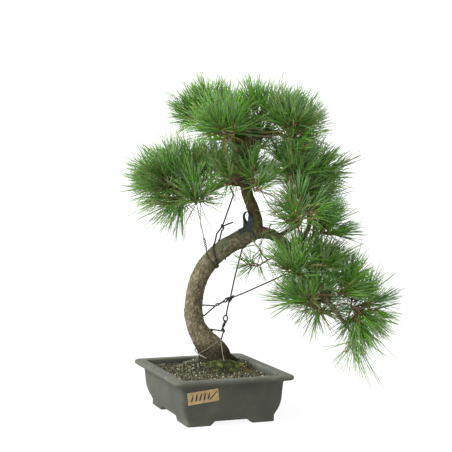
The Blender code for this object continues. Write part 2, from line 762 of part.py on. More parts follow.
def make_masses(wires):
    fixed = fixed_segments(wires)
    skeletons = {}
    others = []
    for name in MASSES:
        skeletons[name] = grow_skeleton(name, fixed, others)
        others += skeletons[name].cores() + skeletons[name].branches()
    for name, skeleton in skeletons.items():
        pieces = [twig_tube(name + "_stem", skeleton.twigs[0], STEM_RADIUS, skeleton.out)]
        for i, twig in enumerate(skeleton.twigs[1:]):
            pieces.append(twig_tube(f"{name}_twig_{i}", twig, TWIG_RADIUS))
        for i, (base, direction) in enumerate(skeleton.shoots):
            base = base - direction * CORE_ROOT * MM
            pieces.append(core_tube(f"{name}_core_{i}", base, direction, CORE_SIDES[i > 0]))
        limb, share = MASSES[name][:2]
        join_pieces(name, pieces, [limb] if share < 1.0 else [])
        pairs, radii = fixed
        own = skeleton.branches()
        near = (pairs + own, radii + [STEM_RADIUS * MM] * len(own))
        surroundings = [Surroundings(skeletons, name, i, near) for i in range(len(skeleton.shoots))]
        draw_needles(pieces[0].data, skeleton, random.Random(f"{name} {SEED}"), surroundings)


# Guy wires and the strap that keeps one of them off the bark


def round_limb(limb, place, start, end, lift, steps=8):
    """Points of a turn round a limb, between two shares along it and two angles.

    Seen from the front and looking along the limb, angle 0 is on its left, and angles
    grow over the front to its right and on round the back.
    """
    points = []
    for i in range(steps + 1):
        middle, radius, along = along_limb(limb, place[0] + (place[1] - place[0]) * i / steps)
        front = tree_direction(0, -1, 0)
        left = front.cross(along).normalized()
        angle = math.radians(start + (end - start) * i / steps)
        outward = left * math.cos(angle) + front * math.sin(angle)
        swell = root_swell(middle, outward) if limb == "trunk" else 1.0
        chord = math.cos(math.radians(abs(end - start) / steps / 2))
        points.append(middle + outward * (radius * swell / chord + (WIRE_RADIUS + lift) * MM + CLEARANCE))
    return points


def wire_routes():
    """The points that each guy wire passes, from its upper end."""
    return {
        "guy_wire_left": (
            round_limb("bough_left", (0.2, 0.2), 0, 0, 0, steps=1)[:1]
            + [tree_point(22, -2, 363)]
            + round_limb("trunk", (0.70, 0.665), -10, 335, 0.3, steps=14)
            + [tree_point(21, 2, 356)]
        ),
        "guy_wire_thin": (
            round_limb("bough_left", (0.7, 0.7), 0, 0, 0, steps=1)[:1]
            + [tree_point(-12, -3, 335)]
            + round_limb("trunk", (0.655, 0.60), 5, 170, 0.3)
        ),
        "guy_wire_down": (
            round_limb("trunk", (0.82, 0.82), 180, 180, 0, steps=1)[:1]
            + [tree_point(51, 5, 275), tree_point(37, 6, 219)]
            + [tree_point(27, 4, 177), tree_point(23, 3, 154)]
            + round_limb("trunk", (0.246, 0.225), -180, 150, 0.5, steps=14)
        ),
        "guy_wire_cascade": (
            round_limb("bough_cascade", (0.3, 0.3), 180, 180, 0, steps=1)[:1]
            + [tree_point(117, -3, 254), tree_point(46, -1, 223)]
            + round_limb("trunk", (0.42, 0.37), -180, 160, 0.3, steps=14)
        ),
    }


def make_wire(name, points):
    path = [(point, WIRE_RADIUS * MM) for point in points]
    tube(name, path, WIRE_SIDES, WIRE)


def strip(name, path, broad, width, thick):
    """A flat strip along a path, as broad as its width across the path."""
    rings = []
    for i, place in enumerate(path):
        tangent = (path[min(i + 1, len(path) - 1)] - path[max(i - 1, 0)]).normalized()
        flat = (broad - tangent * broad.dot(tangent)).normalized()
        half_width = flat * width / 2 * MM
        half_thick = tangent.cross(flat) * thick / 2 * MM
        rings.append([place + half_width + half_thick, place - half_width + half_thick,
                      place - half_width - half_thick, place + half_width - half_thick])
    bm = bmesh.new()
    loft(bm, rings)
    return add_object(name, bm, RUBBER, smooth=False)


def make_strap():
    """A pad on top of the trunk with a ribbon in a loop above it and a band below it."""
    pad_width, pad_thick, pad_start, pad_end = STRAP_PAD
    pad_path = []
    for share in (pad_start, (pad_start + pad_end) / 2, pad_end):
        pad_path += round_limb("trunk", (share, share), 0, 0, 0, steps=1)[:1]
    pad = strip("strap_pad", pad_path, tree_direction(0, 1, 0), pad_width, pad_thick)

    band_width, band_thick, band_start, band_end = STRAP_BAND
    lift = band_thick / 2 - WIRE_RADIUS
    band_path = (round_limb("trunk", (band_start, band_end), 10, 180, lift, steps=5)
                 + round_limb("trunk", (band_end, band_start), 214, 350, lift, steps=4))
    _, _, along = along_limb("trunk", band_start)
    band = strip("strap_band", band_path, along, band_width, band_thick)

    loop_width, loop_height, loop_turn = STRAP_LOOP
    across = Matrix.Rotation(math.radians(loop_turn), 3, "Z") @ tree_direction(1, 0, 0)
    middle = pad_path[1] + UP * loop_height * 0.48 * MM
    loop_path = []
    steps = 9
    for i in range(steps + 1):
        angle = math.radians(-68 + 316 * i / steps)
        loop_path.append(middle + across * loop_width / 2 * math.cos(angle) * MM
                         + UP * loop_height / 2 * math.sin(angle) * MM)
    loop = strip("strap_loop", loop_path, across.cross(UP), *STRAP_RIBBON)
    join_pieces("strap", [pad, band, loop], ["trunk", "leader", "bough_right"])


for old in list(bpy.data.objects):
    bpy.data.objects.remove(old)

PLANT = bpy.data.objects.new("plant", None)
PLANT.location = POT_CENTRE
bpy.context.scene.collection.objects.link(PLANT)

CERAMIC = make_material("stoneware", (0.12, 0.12, 0.095), 0.62)
SOIL = make_material("grit", (0.19, 0.18, 0.12), 0.95)
MOSS_GREEN = make_material("green moss", (0.08, 0.14, 0.025), 0.9)
MOSS_ORANGE = make_material("dry moss", (0.35, 0.19, 0.035), 0.9)
PAPER = make_material("brown paper", (0.5, 0.35, 0.2), 0.8)
BARK = make_material("bark", (0.16, 0.13, 0.085), 0.9)
NEEDLES = make_material("needles", (0.06, 0.19, 0.025), 0.5)
WIRE = make_material("wire", (0.05, 0.05, 0.05), 0.45, 0.6)
RUBBER = make_material("rubber", (0.03, 0.045, 0.04), 0.5)

LIMBS = plan_limbs()
make_pot()
add_object("soil", soil_mesh(), SOIL)
make_moss("moss_green", *MOSS_PADS["moss_green"], MOSS_GREEN)
make_moss("moss_orange", *MOSS_PADS["moss_orange"], MOSS_ORANGE)
make_label()
make_limbs()
ROUTES = wire_routes()
for wire_name, route in ROUTES.items():
    make_wire(wire_name, route)
make_strap()
make_masses(list(ROUTES.values()))
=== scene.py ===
"""The looks of a Japanese black pine grown as a bonsai, with its guy wires and its pot.

The limbs and the skeleton of each foliage mass are planned by the rule that their solids
follow, and grown on from there: bark in plates, side shoots, and needles in pairs.
Shapes are made in metres from the middle of the pot's underside, +Z up, and moved to the
plant's place as they become pieces. Limbs are given in millimetres across the tree's
plane, behind it and above the ground.
"""

import math
import random

import bmesh
import bpy
import numpy as np
from mathutils import Matrix, Vector, noise


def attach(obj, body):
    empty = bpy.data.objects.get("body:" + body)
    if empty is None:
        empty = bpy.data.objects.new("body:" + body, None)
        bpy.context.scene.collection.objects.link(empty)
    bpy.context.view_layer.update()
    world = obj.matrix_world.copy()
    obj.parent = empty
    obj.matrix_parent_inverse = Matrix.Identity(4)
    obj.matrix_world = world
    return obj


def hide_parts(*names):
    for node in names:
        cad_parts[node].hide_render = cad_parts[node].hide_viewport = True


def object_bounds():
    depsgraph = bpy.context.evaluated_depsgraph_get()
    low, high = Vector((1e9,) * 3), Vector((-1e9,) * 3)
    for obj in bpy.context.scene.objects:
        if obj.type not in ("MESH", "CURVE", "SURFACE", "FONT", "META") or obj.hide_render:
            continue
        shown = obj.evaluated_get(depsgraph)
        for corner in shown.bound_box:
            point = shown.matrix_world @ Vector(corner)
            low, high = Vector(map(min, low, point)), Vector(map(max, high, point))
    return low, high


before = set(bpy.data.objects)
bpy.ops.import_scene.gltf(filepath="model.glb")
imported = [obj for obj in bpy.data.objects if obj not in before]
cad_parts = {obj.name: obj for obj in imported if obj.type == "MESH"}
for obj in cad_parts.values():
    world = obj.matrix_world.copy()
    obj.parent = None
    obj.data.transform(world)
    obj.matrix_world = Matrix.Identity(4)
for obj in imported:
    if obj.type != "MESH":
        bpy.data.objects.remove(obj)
CAD_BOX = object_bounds()

MM = 0.001
UP = Vector((0, 0, 1))
CLEARANCE = 0.3 * MM
SEED = 1706

# Camera and light
CAMERA_FROM_POT = (-0.7135, -2.0998, 0.4596)
CAMERA_TURN = -19.52
CAMERA_DIP = 2.44
CAMERA_LENS = 90.77
SKY_STRENGTH = 1.3
KEY_STRENGTH = 5.7
KEY_ANGLE = 32
KEY_FROM = (-1.0, -0.08, 0.75)
FLOOR_COLOUR = (84, 84, 83)
FLOOR_GLOW = 0.9

# Where the middle of the pot stands
POT_CENTRE = Vector((-114 * MM, -45 * MM, 0))

# Pot: sizes at the rim, and insets from the rim's outer edge at each height
POT_WIDTH = 235 * MM
POT_DEPTH = 301 * MM
RIM_CORNER = 15 * MM
LEAST_CORNER = 6 * MM
CORNER_STEPS = 8
UNDERSIDE = 8 * MM
BODY_PROFILE = ((31, 11), (28.5, 17), (24, 26), (20.2, 39), (18.4, 55), (16.8, 73))
RIM_PROFILE = ((16.2, 75.6), (14.6, 78), (12, 79.2), (3.4, 80.4), (1.2, 81), (0.3, 82.4),
               (0, 84.5), (0.1, 86.6), (0.9, 88.3), (2.4, 89), (8, 89.15), (19, 89), (21, 88.7),
               (22, 88.0), (22.5, 86.4), (22.8, 78), (23.6, 64), (24.6, 50), (26.4, 38),
               (29, 26), (36, 16))
BODY_STEPS = 4
FOOT_ALONG_X = 45 * MM
FOOT_ALONG_Y = 66 * MM
FOOT_CHAMFER = 9 * MM
FOOT_LEG = 19 * MM
FOOT_INSET = 31 * MM

# Soil: level along the walls, with a mound under the tree, and grains all over it
SOIL_EDGE = 78 * MM
SOIL_TOP = 92 * MM
SOIL_WALL = 23.4 * MM
MOUND_FLAT = 46 * MM
MOUND_FOOT = 84 * MM
GRAIN_STEP = 3.7 * MM
GRAIN_SIZE = (1.2, 2.6)

# Moss cushions: middle in X and Y, half lengths, turn, thickness and number of leaves
MOSS_PADS = {
    "moss_green": (Vector((27, 4, 0)) * MM, 38 * MM, 27 * MM, -14, 10 * MM, 7800),
    "moss_orange": (Vector((66, -11, 0)) * MM, 21 * MM, 9 * MM, -60, 5 * MM, 2200),
}

# Their colours, from the shaded ground to the brightest tips
MOSS_GREENS = ((32, 36, 20), (44, 42, 26), (52, 56, 26), (54, 70, 26), (64, 82, 28), (80, 94, 36),
               (98, 106, 50))
MOSS_ORANGES = ((46, 40, 24), (60, 56, 30), (80, 68, 34), (98, 80, 38), (116, 94, 48))

# Paper label: its middle on the front wall, its size and its tilt
LABEL_X = -60.5 * MM
LABEL_Z = 58 * MM
LABEL_SIZE = (60 * MM, 23.5 * MM)
LABEL_TILT = 6

# Tree: the plane that it grows in
TREE_TURN = -19.5
TREE_DEPTH = 53
TREE_CENTRE = (10, 0)

# Trunk: across, above the ground and radius, from the flat cut at the soil to the fork
TRUNK = ((6, 92.3, 31), (3.5, 106, 28.2), (-6.5, 124, 24.8), (-20, 143, 21), (-30.5, 163, 18.8),
         (-35.6, 188, 17.5), (-34, 222, 17.3), (-26.5, 253, 17.3), (-10.6, 283, 17.4),
         (13.4, 309, 17.4), (41, 328, 17.3), (70, 343.5, 16.8), (86, 352, 15), (95, 357, 10))
# Root flare: direction round the trunk, share of the radius and width of each root
ROOTS = ((-8, 0.26, 34), (115, 0.10, 40), (205, 0.12, 36), (290, 0.16, 30))
FLARE_TOP = 150

# Boughs: the limb that each leaves, its points across, behind and above, and its radii
BOUGHS = {
    "leader": ("trunk", ((86, 0, 350), (89, 0, 374), (81, 1, 402), (70, 2, 432), (67, 4, 462),
                         (71, 3, 502), (76, 0, 546)), 14, 6.5),
    "bough_right": ("trunk", ((82, 0, 349), (108, -1, 349), (130, -3, 341), (153, -4, 321),
                              (163, -4, 288)), 13, 6.5),
    "bough_cascade": ("bough_right", ((154, -4, 316), (184, -8, 294), (208, -6, 262),
                                      (230, -2, 216), (256, 0, 184)), 7.5, 4.6),
    "bough_cascade_tip": ("bough_cascade", ((246, 0, 197), (262, 3, 174), (272, 4, 160)), 4.4, 3),
    "bough_rising": ("bough_right", ((147, -4, 324), (179, -15, 338), (193, -22, 364),
                                     (192, -21, 394), (181, -16, 424)), 5.4, 3.6),
    "bough_outer": ("bough_right", ((148, -4, 323), (172, 10, 336), (192, 14, 334)), 4.6, 3.2),
    "bough_left": ("leader", ((68, 4, 452), (30, -4, 449), (-4, -8, 434), (-40, -8, 424),
                              (-68, -5, 421)), 6.4, 3.4),
    "bough_apex_right": ("leader", ((75, 0, 530), (104, -8, 548), (134, -13, 546)), 5.5, 3.8),
    "bough_apex_left": ("leader", ((73, 1, 518), (40, 6, 536), (10, 8, 552)), 5, 3.4),
    "bough_upper_right": ("leader", ((68, 4, 470), (104, 18, 480), (136, 22, 474),
                                     (166, 20, 462)), 5.8, 3.6),
    "bough_back": ("leader", ((67, 4, 446), (64, 46, 462), (56, 92, 468)), 5.8, 3.6),
    "bough_front": ("leader", ((72, 2, 500), (62, -32, 506), (50, -60, 512)), 5, 3.4),
    "bough_back_right": ("bough_right", ((132, -3, 337), (152, 36, 350), (180, 74, 362)), 5, 3.4),
}
# A bough nearly as thick as its parent starts thinner, so that its end stays inside it
THICK_SHARE = 0.7
HIDDEN_START = 0.5
PATH_STEPS = 2
FINE_STEPS = 6

# Foliage: the limb that each mass grows on and the share along it, the mass's heart and
# heading, and how many shoots it has
MASSES = {
    "apex_left": ("bough_apex_left", 1.0, (-2, 8, 602), (-0.49, 0.05, 0.87), 4),
    "apex_crest": ("bough_apex_left", 0.55, (22, 4, 574), (0.04, 0.05, 1.0), 3),
    "apex_front": ("bough_front", 1.0, (30, -68, 550), (-0.49, -0.2, 0.85), 4),
    "apex_middle": ("leader", 1.0, (130, 2, 578), (0.54, 0.0, 0.84), 4),
    "apex_right": ("bough_apex_right", 1.0, (162, -14, 536), (0.25, -0.05, 0.97), 5),
    "apex_side": ("bough_apex_right", 0.75, (140, -4, 512), (0.91, 0.0, 0.41), 3),
    "apex_back": ("leader", 0.86, (90, 66, 524), (0.02, 0.61, 0.79), 4),
    "left_tip": ("bough_left", 1.0, (-68, -18, 460), (-0.59, -0.1, 0.8), 4),
    "left_low": ("bough_left", 0.88, (-96, 12, 442), (-1.0, 0.0, 0.1), 4),
    "left_under": ("bough_left", 0.72, (-58, -8, 420), (-0.25, -0.1, -0.96), 3),
    "left_upper": ("bough_left", 0.8, (-56, 2, 464), (0.06, 0.1, 0.99), 3),
    "left_inner": ("bough_left", 0.45, (8, -6, 464), (-0.21, 0.0, 0.98), 3),
    "left_front": ("bough_left", 0.66, (-30, -56, 408), (-0.09, -0.78, 0.62), 3),
    "left_back": ("bough_left", 0.6, (-54, 60, 418), (-0.3, 0.81, 0.51), 3),
    "centre_front": ("leader", 0.6, (86, -46, 432), (0.45, -0.5, 0.74), 3),
    "centre_left": ("leader", 0.66, (50, -16, 446), (-0.66, -0.15, 0.73), 3),
    "centre_back": ("bough_back", 1.0, (58, 118, 450), (-0.14, 0.82, 0.55), 4),
    "right_inner": ("bough_rising", 1.0, (154, -20, 462), (-0.05, -0.2, 0.98), 3),
    "right_upper": ("bough_upper_right", 1.0, (200, 14, 464), (0.7, 0.0, 0.71), 4),
    "right_outer": ("bough_upper_right", 0.85, (200, 8, 408), (0.84, 0.0, 0.54), 4),
    "right_low": ("bough_outer", 1.0, (204, 8, 362), (0.71, 0.0, 0.71), 4),
    "right_front": ("bough_rising", 0.8, (164, -70, 376), (0.41, -0.82, 0.41), 3),
    "right_root": ("bough_rising", 0.3, (174, -26, 374), (-0.46, -0.2, 0.86), 2),
    "right_back": ("bough_back_right", 1.0, (184, 100, 402), (0.41, 0.82, 0.41), 4),
    "cascade_root": ("bough_cascade", 0.2, (174, -42, 264), (-0.23, -0.62, 0.75), 3),
    "cascade_inner": ("bough_cascade", 0.62, (202, -16, 200), (-0.73, -0.1, 0.67), 4),
    "cascade_upper": ("bough_cascade", 0.42, (200, 6, 270), (0.54, 0.0, 0.84), 4),
    "cascade_middle": ("bough_cascade", 0.66, (264, -8, 220), (0.86, -0.1, 0.5), 3),
    "cascade_outer": ("bough_cascade", 0.88, (304, 0, 190), (0.74, 0.0, -0.67), 5),
    "cascade_tip": ("bough_cascade_tip", 1.0, (284, 4, 144), (0.42, 0.0, -0.91), 3),
    "cascade_back": ("bough_cascade", 0.58, (224, 60, 180), (0.4, 0.91, -0.1), 3),
    "inner_sprig": ("bough_right", 0.8, (92, -16, 284), (-0.98, -0.11, 0.16), 2),
}
STEM_RADIUS = 2.4
SUNK_START = 0.6
TWIG_RADIUS = 1.9
FAN_TILT = (38, 62)
FAN_REACH = 24
GOLDEN_ANGLE = 137.5
TWIG_MARGIN = 3.5
LEAST_APART = 10
CORE_LENGTH = 18
# How far a shoot turns from its twig's way to its mass's heading, and upwards
HEADING_SHARE = 0.35
LIFT_SHARE = 0.35

# Shoots: length and needle pairs of the planned ones, and of the side shoots beside them
MAIN_SHOOT = (21, 28)
SIDE_SHOOT = (15, 15)
SIDE_SHOOTS = 3
ONLY_MAIN = ("inner_sprig",)
SIDE_TILT = (28, 72)
OLD_PAIRS = 7
# The share of the usual needles that sparser and fuller masses have
SPARSE = {"inner_sprig": 0.95, "cascade_tip": 0.16, "right_root": 0.45, "left_under": 0.45,
          "left_inner": 0.5, "left_upper": 0.65, "left_tip": 0.85, "left_low": 0.85, "left_front": 0.7,
          "centre_front": 0.65, "centre_left": 0.55, "right_upper": 0.8, "right_outer": 0.8,
          "right_front": 0.3, "right_inner": 0.7, "right_low": 0.8, "cascade_root": 0.85,
          "cascade_upper": 1.1, "cascade_middle": 1.2, "cascade_inner": 1.1, "cascade_outer": 0.85}

# Dead wood: rows of across, behind, above and radius from the limb that each left
DEAD_WOOD = (
    ((78, -2, 540, 4), (72, -9, 551, 4.2), (66, -13, 560, 6), (63, -15, 564, 4.5)),
    ((134, -13, 546, 2.6), (112, -22, 540, 2), (84, -26, 542, 1.8), (56, -28, 547, 1.4)),
    ((108, -10, 548, 2), (96, -24, 553, 1.6), (74, -32, 556, 1.3), (58, -36, 553, 1)),
    ((136, -12, 545, 3.6), (146, -17, 538, 3.8), (150, -18, 522, 3.2), (153, -19, 507, 2.6)),
    ((-30, -8, 427, 2.2), (-28, -16, 446, 2.2), (-31, -18, 464, 4.6), (-32, -19, 472, 3.4)),
    ((-66, -6, 421, 2.4), (-88, -20, 412, 2), (-108, -26, 411, 3.6), (-117, -28, 414, 2.8)),
    ((100, -4, 349, 2), (112, -18, 356, 1.7), (118, -24, 368, 1.4)),
)

# Needles: length, width, share of the length in the sheath, spread at the foot and at the
# tip of a shoot, angle between a pair, and how much one bends
NEEDLE_LENGTH = (46, 66)
NEEDLE_WIDTH = 0.66
NEEDLE_RINGS = ((0.0, 1.25), (0.1, 1.15), (0.45, 1.0), (0.8, 0.8))
NEEDLE_SPREAD = (60, 9)
NEEDLE_JITTER = 13
PAIR_ANGLE = 7
NEEDLE_BEND = 0.08
NEEDLE_LEAST = 0.55
BOX_ALLOWANCE = 12
# The share of needles that are longer, and how much; the share with another tone than
# their shoot's; the share left of those that hang down from a shoot that doesn't
STRAY_SHARE = 0.08
STRAY_LENGTH = 1.36
MIXED_SHARE = 0.45
HANGING_SHARE = 0.35
DRY_SHARE = 0.012

# Masses with another spread, and the share of the usual needles on their lesser shoots
SPREADS = {"inner_sprig": (104, 38)}
BESIDE = {"inner_sprig": 0.3}

# Masses whose needles also hang, and those with longer or shorter needles
HANGING = {"inner_sprig": 1.0, "left_under": 1.0, "cascade_tip": 1.0, "cascade_inner": 0.7}
LENGTHS = {"apex_right": 1.12, "right_outer": 1.12, "apex_left": 0.93, "left_under": 1.15,
           "left_tip": 1.06, "left_low": 1.06, "cascade_outer": 1.05, "inner_sprig": 0.7}

# Needle tones, each as the colour of its lower half and of its tip; the lower halves are the needles' own colour
# lightened as painted light, to lift the shade they lie in inside the masses
TONES = (
    ((92, 146, 42), (98, 146, 54)),
    ((84, 136, 42), (90, 136, 56)),
    ((78, 126, 46), (86, 128, 60)),
    ((70, 114, 46), (82, 122, 64)),
    ((102, 140, 54), (112, 144, 74)),
    ((86, 124, 68), (104, 136, 92)),
    ((108, 124, 70), (124, 138, 94)),
)
TONE_WEIGHTS = {
    "apex": (6, 5, 4, 2, 3, 1, 1),
    "left": (3, 3, 2, 1, 5, 6, 5),
    "centre": (5, 4, 2, 1, 5, 4, 3),
    "right": (6, 5, 2, 1, 5, 4, 3),
    "cascade": (6, 4, 2, 1, 5, 4, 3),
}

# Guy wires: the planned ones' radius
WIRE_RADIUS = 1.0
# The strands that are drawn for them: radius in millimetres, then places across, behind and
# above, turns round a limb (limb, two shares along it, two angles, lift), and strands that
# twist on to a place (number of turns, how far off, start angle, place)
DARK_STRANDS = {
    "guy_wire_left": (
        (1.6, ("bough_left", 0.2, 0.2, 0, 1, 0), (44, -2, 425), (25.5, -3, 372), (21, -4, 361),
         (11, -5, 348), ("trunk", 0.706, 0.62, 0, 250, 0.2)),
        (1.6, (43, -3, 370.5), (33, -5, 367), (24, -6, 363), (20, -3, 359), (20.5, -1, 366), (25, -5, 359),
         (20.5, -6, 353), ("trunk", 0.731, 0.7, 0, -170, 0.2)),
    ),
    "guy_wire_thin": (
        (0.8, ("bough_left", 0.7, 0.7, 0, 1, 0), (-15, -4, 340), (2, 1.9, 0, (-10.5, -6, 321)),
         ("trunk", 0.661, 0.63, 0, 230, 0.2)),
        (0.8, (-15, -4, 339), (2, 1.9, 180, (-10.5, -6, 321)), ("trunk", 0.662, 0.648, 2, 90, 0.2)),
    ),
    "guy_wire_down": (
        (1.5, ("trunk", 0.82, 0.82, 180, 181, 0), (61.6, 0, 318), (47.4, 4, 263), (37.4, 6, 216.4),
         (34, 6, 206), (29.4, 5, 184), (25.5, 5, 181.5), (23.4, 4, 177.2), (25, 4, 173.4), (28, 4, 172.4),
         (2, 1.6, 0, (22.4, 3, 159.5)), (26.4, 3, 152), (23.6, 3, 148.6), (20.4, 1, 138), (18, -6, 132)),
        (1.5, (29.4, 4, 184), (31.6, 5, 181), (32.4, 5, 177.2), (31.4, 4, 173.4), (28.6, 4, 171.6),
         (2, 1.6, 180, (22.6, 4, 159.5)), (20.4, 4, 155), (26.4, 4, 151.4),
         ("trunk", 0.228, 0.222, -180, -20, 0.3), ("trunk", 0.222, 0.217, -20, -178, 0.3)),
    ),
    "guy_wire_cascade": (
        (1.4, ("bough_cascade", 0.3, 0.3, 180, 181, 0), (117, -3, 252.5), (67, 2, 229.5), (44, 4, 220),
         (36, 8, 215), (1, 1.7, 0, (29, 2, 213)), (1, 1.5, 0, (8.8, 0, 204)),
         ("trunk", 0.427, 0.405, -180, -20, 0.2), ("trunk", 0.392, 0.362, -20, -178, 0.2), (8.8, 1, 203.5)),
        (1.4, (45, 1, 224), (38, 2, 220), (33, 4, 219), (28.6, 3, 217.4), (25.5, 2, 213),
         (1, 1.5, 180, (8.8, 0, 204.5))),
        (1.6, (38.4, 8, 223), (41, 3, 218.5), (36, 2, 211.5), (31.5, 5, 216), (35, 1, 219)),
    ),
}
PALE_STRANDS = (
    (0.6, ("trunk", 0.15, 0.142, 190, -20, 0.5)),
    (0.7, (18.4, -6, 139), (20, -22, 128), (21.5, -31, 118), (24, -38, 105), (27.4, -44, 95), (28.6, -46, 90)),
    (1.2, (-28.5, -2, 119), (-33, -5, 116), (-31, -10, 112), (-24, -20, 108), (-14, -28, 104),
     (-9, -31, 102)),
    (0.7, (-56, -24, 93), (-46, -26, 95.5), (-36, -25, 96), (-27, -22, 103), (-24, -18, 110)),
)

# Rubber strap: middle across, behind and above, the way and the size of its width
STRAP_LOOP = (((69.5, -9, 360), (1.0, 0.15), 14), ((68.5, -9, 368), (0.95, 0.3), 11),
              ((66, -9, 375), (0.6, 0.8), 9), ((64.6, -9.5, 382), (0.4, 0.9), 9),
              ((66, -10, 388), (0.4, 0.9), 9), ((70.5, -10.5, 391.6), (0.35, 0.93), 9),
              ((75.5, -11.5, 391), (0.45, 0.88), 10), ((78.4, -12.5, 386), (0.8, 0.6), 11),
              ((78, -13.5, 378), (0.98, 0.2), 11), ((77.4, -13.5, 368), (1.0, 0.0), 11.5),
              ((76.5, -11.5, 358), (1.0, 0.0), 13))
STRAP_THICK = 1.7
# Its pad and its band: shares along the trunk and angles round it
STRAP_PATCHES = ((0.822, 0.895, -50, 62, 1.5), (0.893, 0.912, -60, 205, 1.1))

# Blank tag: its place, size and tilt
TAG = ((121, -36, 468), (15, 9, 0.7), 34)

# Strokes of a brush on the label: place along it, lean and half height, in millimetres
LABEL_STROKES = ((-21, 2.2, 6.0), (-13, 1.6, 6.6), (-5, 2.4, 6.2), (3, 1.8, 6.6), (11, 2.0, 6.0),
                 (20, 7.5, 6.8))


def tree_point(across, behind, above):
    """A place given in millimetres in the tree's plane, from the middle of the pot."""
    turn = Matrix.Rotation(math.radians(TREE_TURN), 3, "Z")
    return turn @ Vector((across, behind + TREE_DEPTH, above)) * MM


def tree_direction(across, behind, above):
    turn = Matrix.Rotation(math.radians(TREE_TURN), 3, "Z")
    return (turn @ Vector((across, behind, above))).normalized()


# Materials


def linear(colour, alpha=1.0):
    """A colour given as on a screen, from 0 to 255, for a shader."""
    return tuple(((c / 255 + 0.055) / 1.055) ** 2.4 if c > 10 else c / 3294 for c in colour) + (alpha,)


class Look:
    """One material, built node by node."""

    def __init__(self, name, colour, roughness, specular=0.4, metallic=0.0):
        self.material = bpy.data.materials.new(name)
        self.material.use_nodes = True
        self.tree = self.material.node_tree
        self.shader = self.tree.nodes["Principled BSDF"]
        self.shader.inputs["Base Color"].default_value = linear(colour)
        self.shader.inputs["Roughness"].default_value = roughness
        self.shader.inputs["Specular IOR Level"].default_value = specular
        self.shader.inputs["Metallic"].default_value = metallic
        self.places = None

    def node(self, kind, inputs=(), **settings):
        made = self.tree.nodes.new("ShaderNode" + kind)
        for key, value in settings.items():
            setattr(made, key, value)
        for key, value in dict(inputs).items():
            if isinstance(value, bpy.types.NodeSocket):
                self.tree.links.new(value, made.inputs[key])
            else:
                made.inputs[key].default_value = value
        return made

    def place(self, stretch=(1, 1, 1)):
        """Where a point is in the row frame, in metres, stretched for a pattern."""
        if self.places is None:
            self.places = self.node("TexCoord").outputs["Object"]
        return self.node("Mapping", {"Vector": self.places, "Scale": stretch}).outputs["Vector"]

    def noise(self, scale, detail=3.0, roughness=0.55, stretch=(1, 1, 1), warp=0.0):
        made = self.node("TexNoise", {"Vector": self.place(stretch), "Scale": scale, "Detail": detail,
                                      "Roughness": roughness, "Distortion": warp})
        return made.outputs["Fac"]

    def ramp(self, factor, stops, smooth=False):
        made = self.node("ValToRGB", {"Fac": factor})
        ramp = made.color_ramp
        ramp.interpolation = "EASE" if smooth else "LINEAR"
        while len(ramp.elements) < len(stops):
            ramp.elements.new(1.0)
        for element, (at, colour) in zip(ramp.elements, stops):
            element.position = at
            element.color = linear(colour)
        return made.outputs["Color"]

    def mask(self, factor, low, high):
        """From 0 at low to 1 at high."""
        return self.node("MapRange", {"Value": factor, "From Min": low, "From Max": high},
                         interpolation_type="SMOOTHSTEP").outputs["Result"]

    def mix(self, factor, low, high, blend="MIX"):
        made = self.node("Mix", data_type="RGBA", blend_type=blend)
        for index, value in ((0, factor), (6, low), (7, high)):
            if isinstance(value, bpy.types.NodeSocket):
                self.tree.links.new(value, made.inputs[index])
            else:
                made.inputs[index].default_value = value
        return made.outputs[2]

    def math(self, operation, first, second=0.0):
        return self.node("Math", {0: first, 1: second}, operation=operation).outputs[0]

    def colour(self, socket):
        self.tree.links.new(socket, self.shader.inputs["Base Color"])

    def rough(self, socket):
        self.tree.links.new(socket, self.shader.inputs["Roughness"])

    def bump(self, height, strength, distance):
        made = self.node("Bump", {"Height": height, "Strength": strength, "Distance": distance})
        self.tree.links.new(made.outputs["Normal"], self.shader.inputs["Normal"])


def plain_looks(name, colours, roughness, specular=0.25):
    """One plain material for each colour, for small things that are dealt them."""
    return [Look(f"{name}_{i}", colour, roughness, specular).material
            for i, colour in enumerate(colours)]


def mottled(name, colours, scale, roughness, bump=(0.3, 0.0004), specular=0.3, stretch=(1, 1, 1),
            metallic=0.0):
    """A material whose colours lie in blotches, with a grain in its surface."""
    look = Look(name, colours[0], roughness, specular, metallic)
    stops = [(0.32 + 0.36 * i / (len(colours) - 1), colour) for i, colour in enumerate(colours)]
    look.colour(look.ramp(look.noise(scale, 5.0, 0.6, stretch), stops))
    look.bump(look.noise(scale * 4, 4.0, 0.6, stretch), *bump)
    return look.material


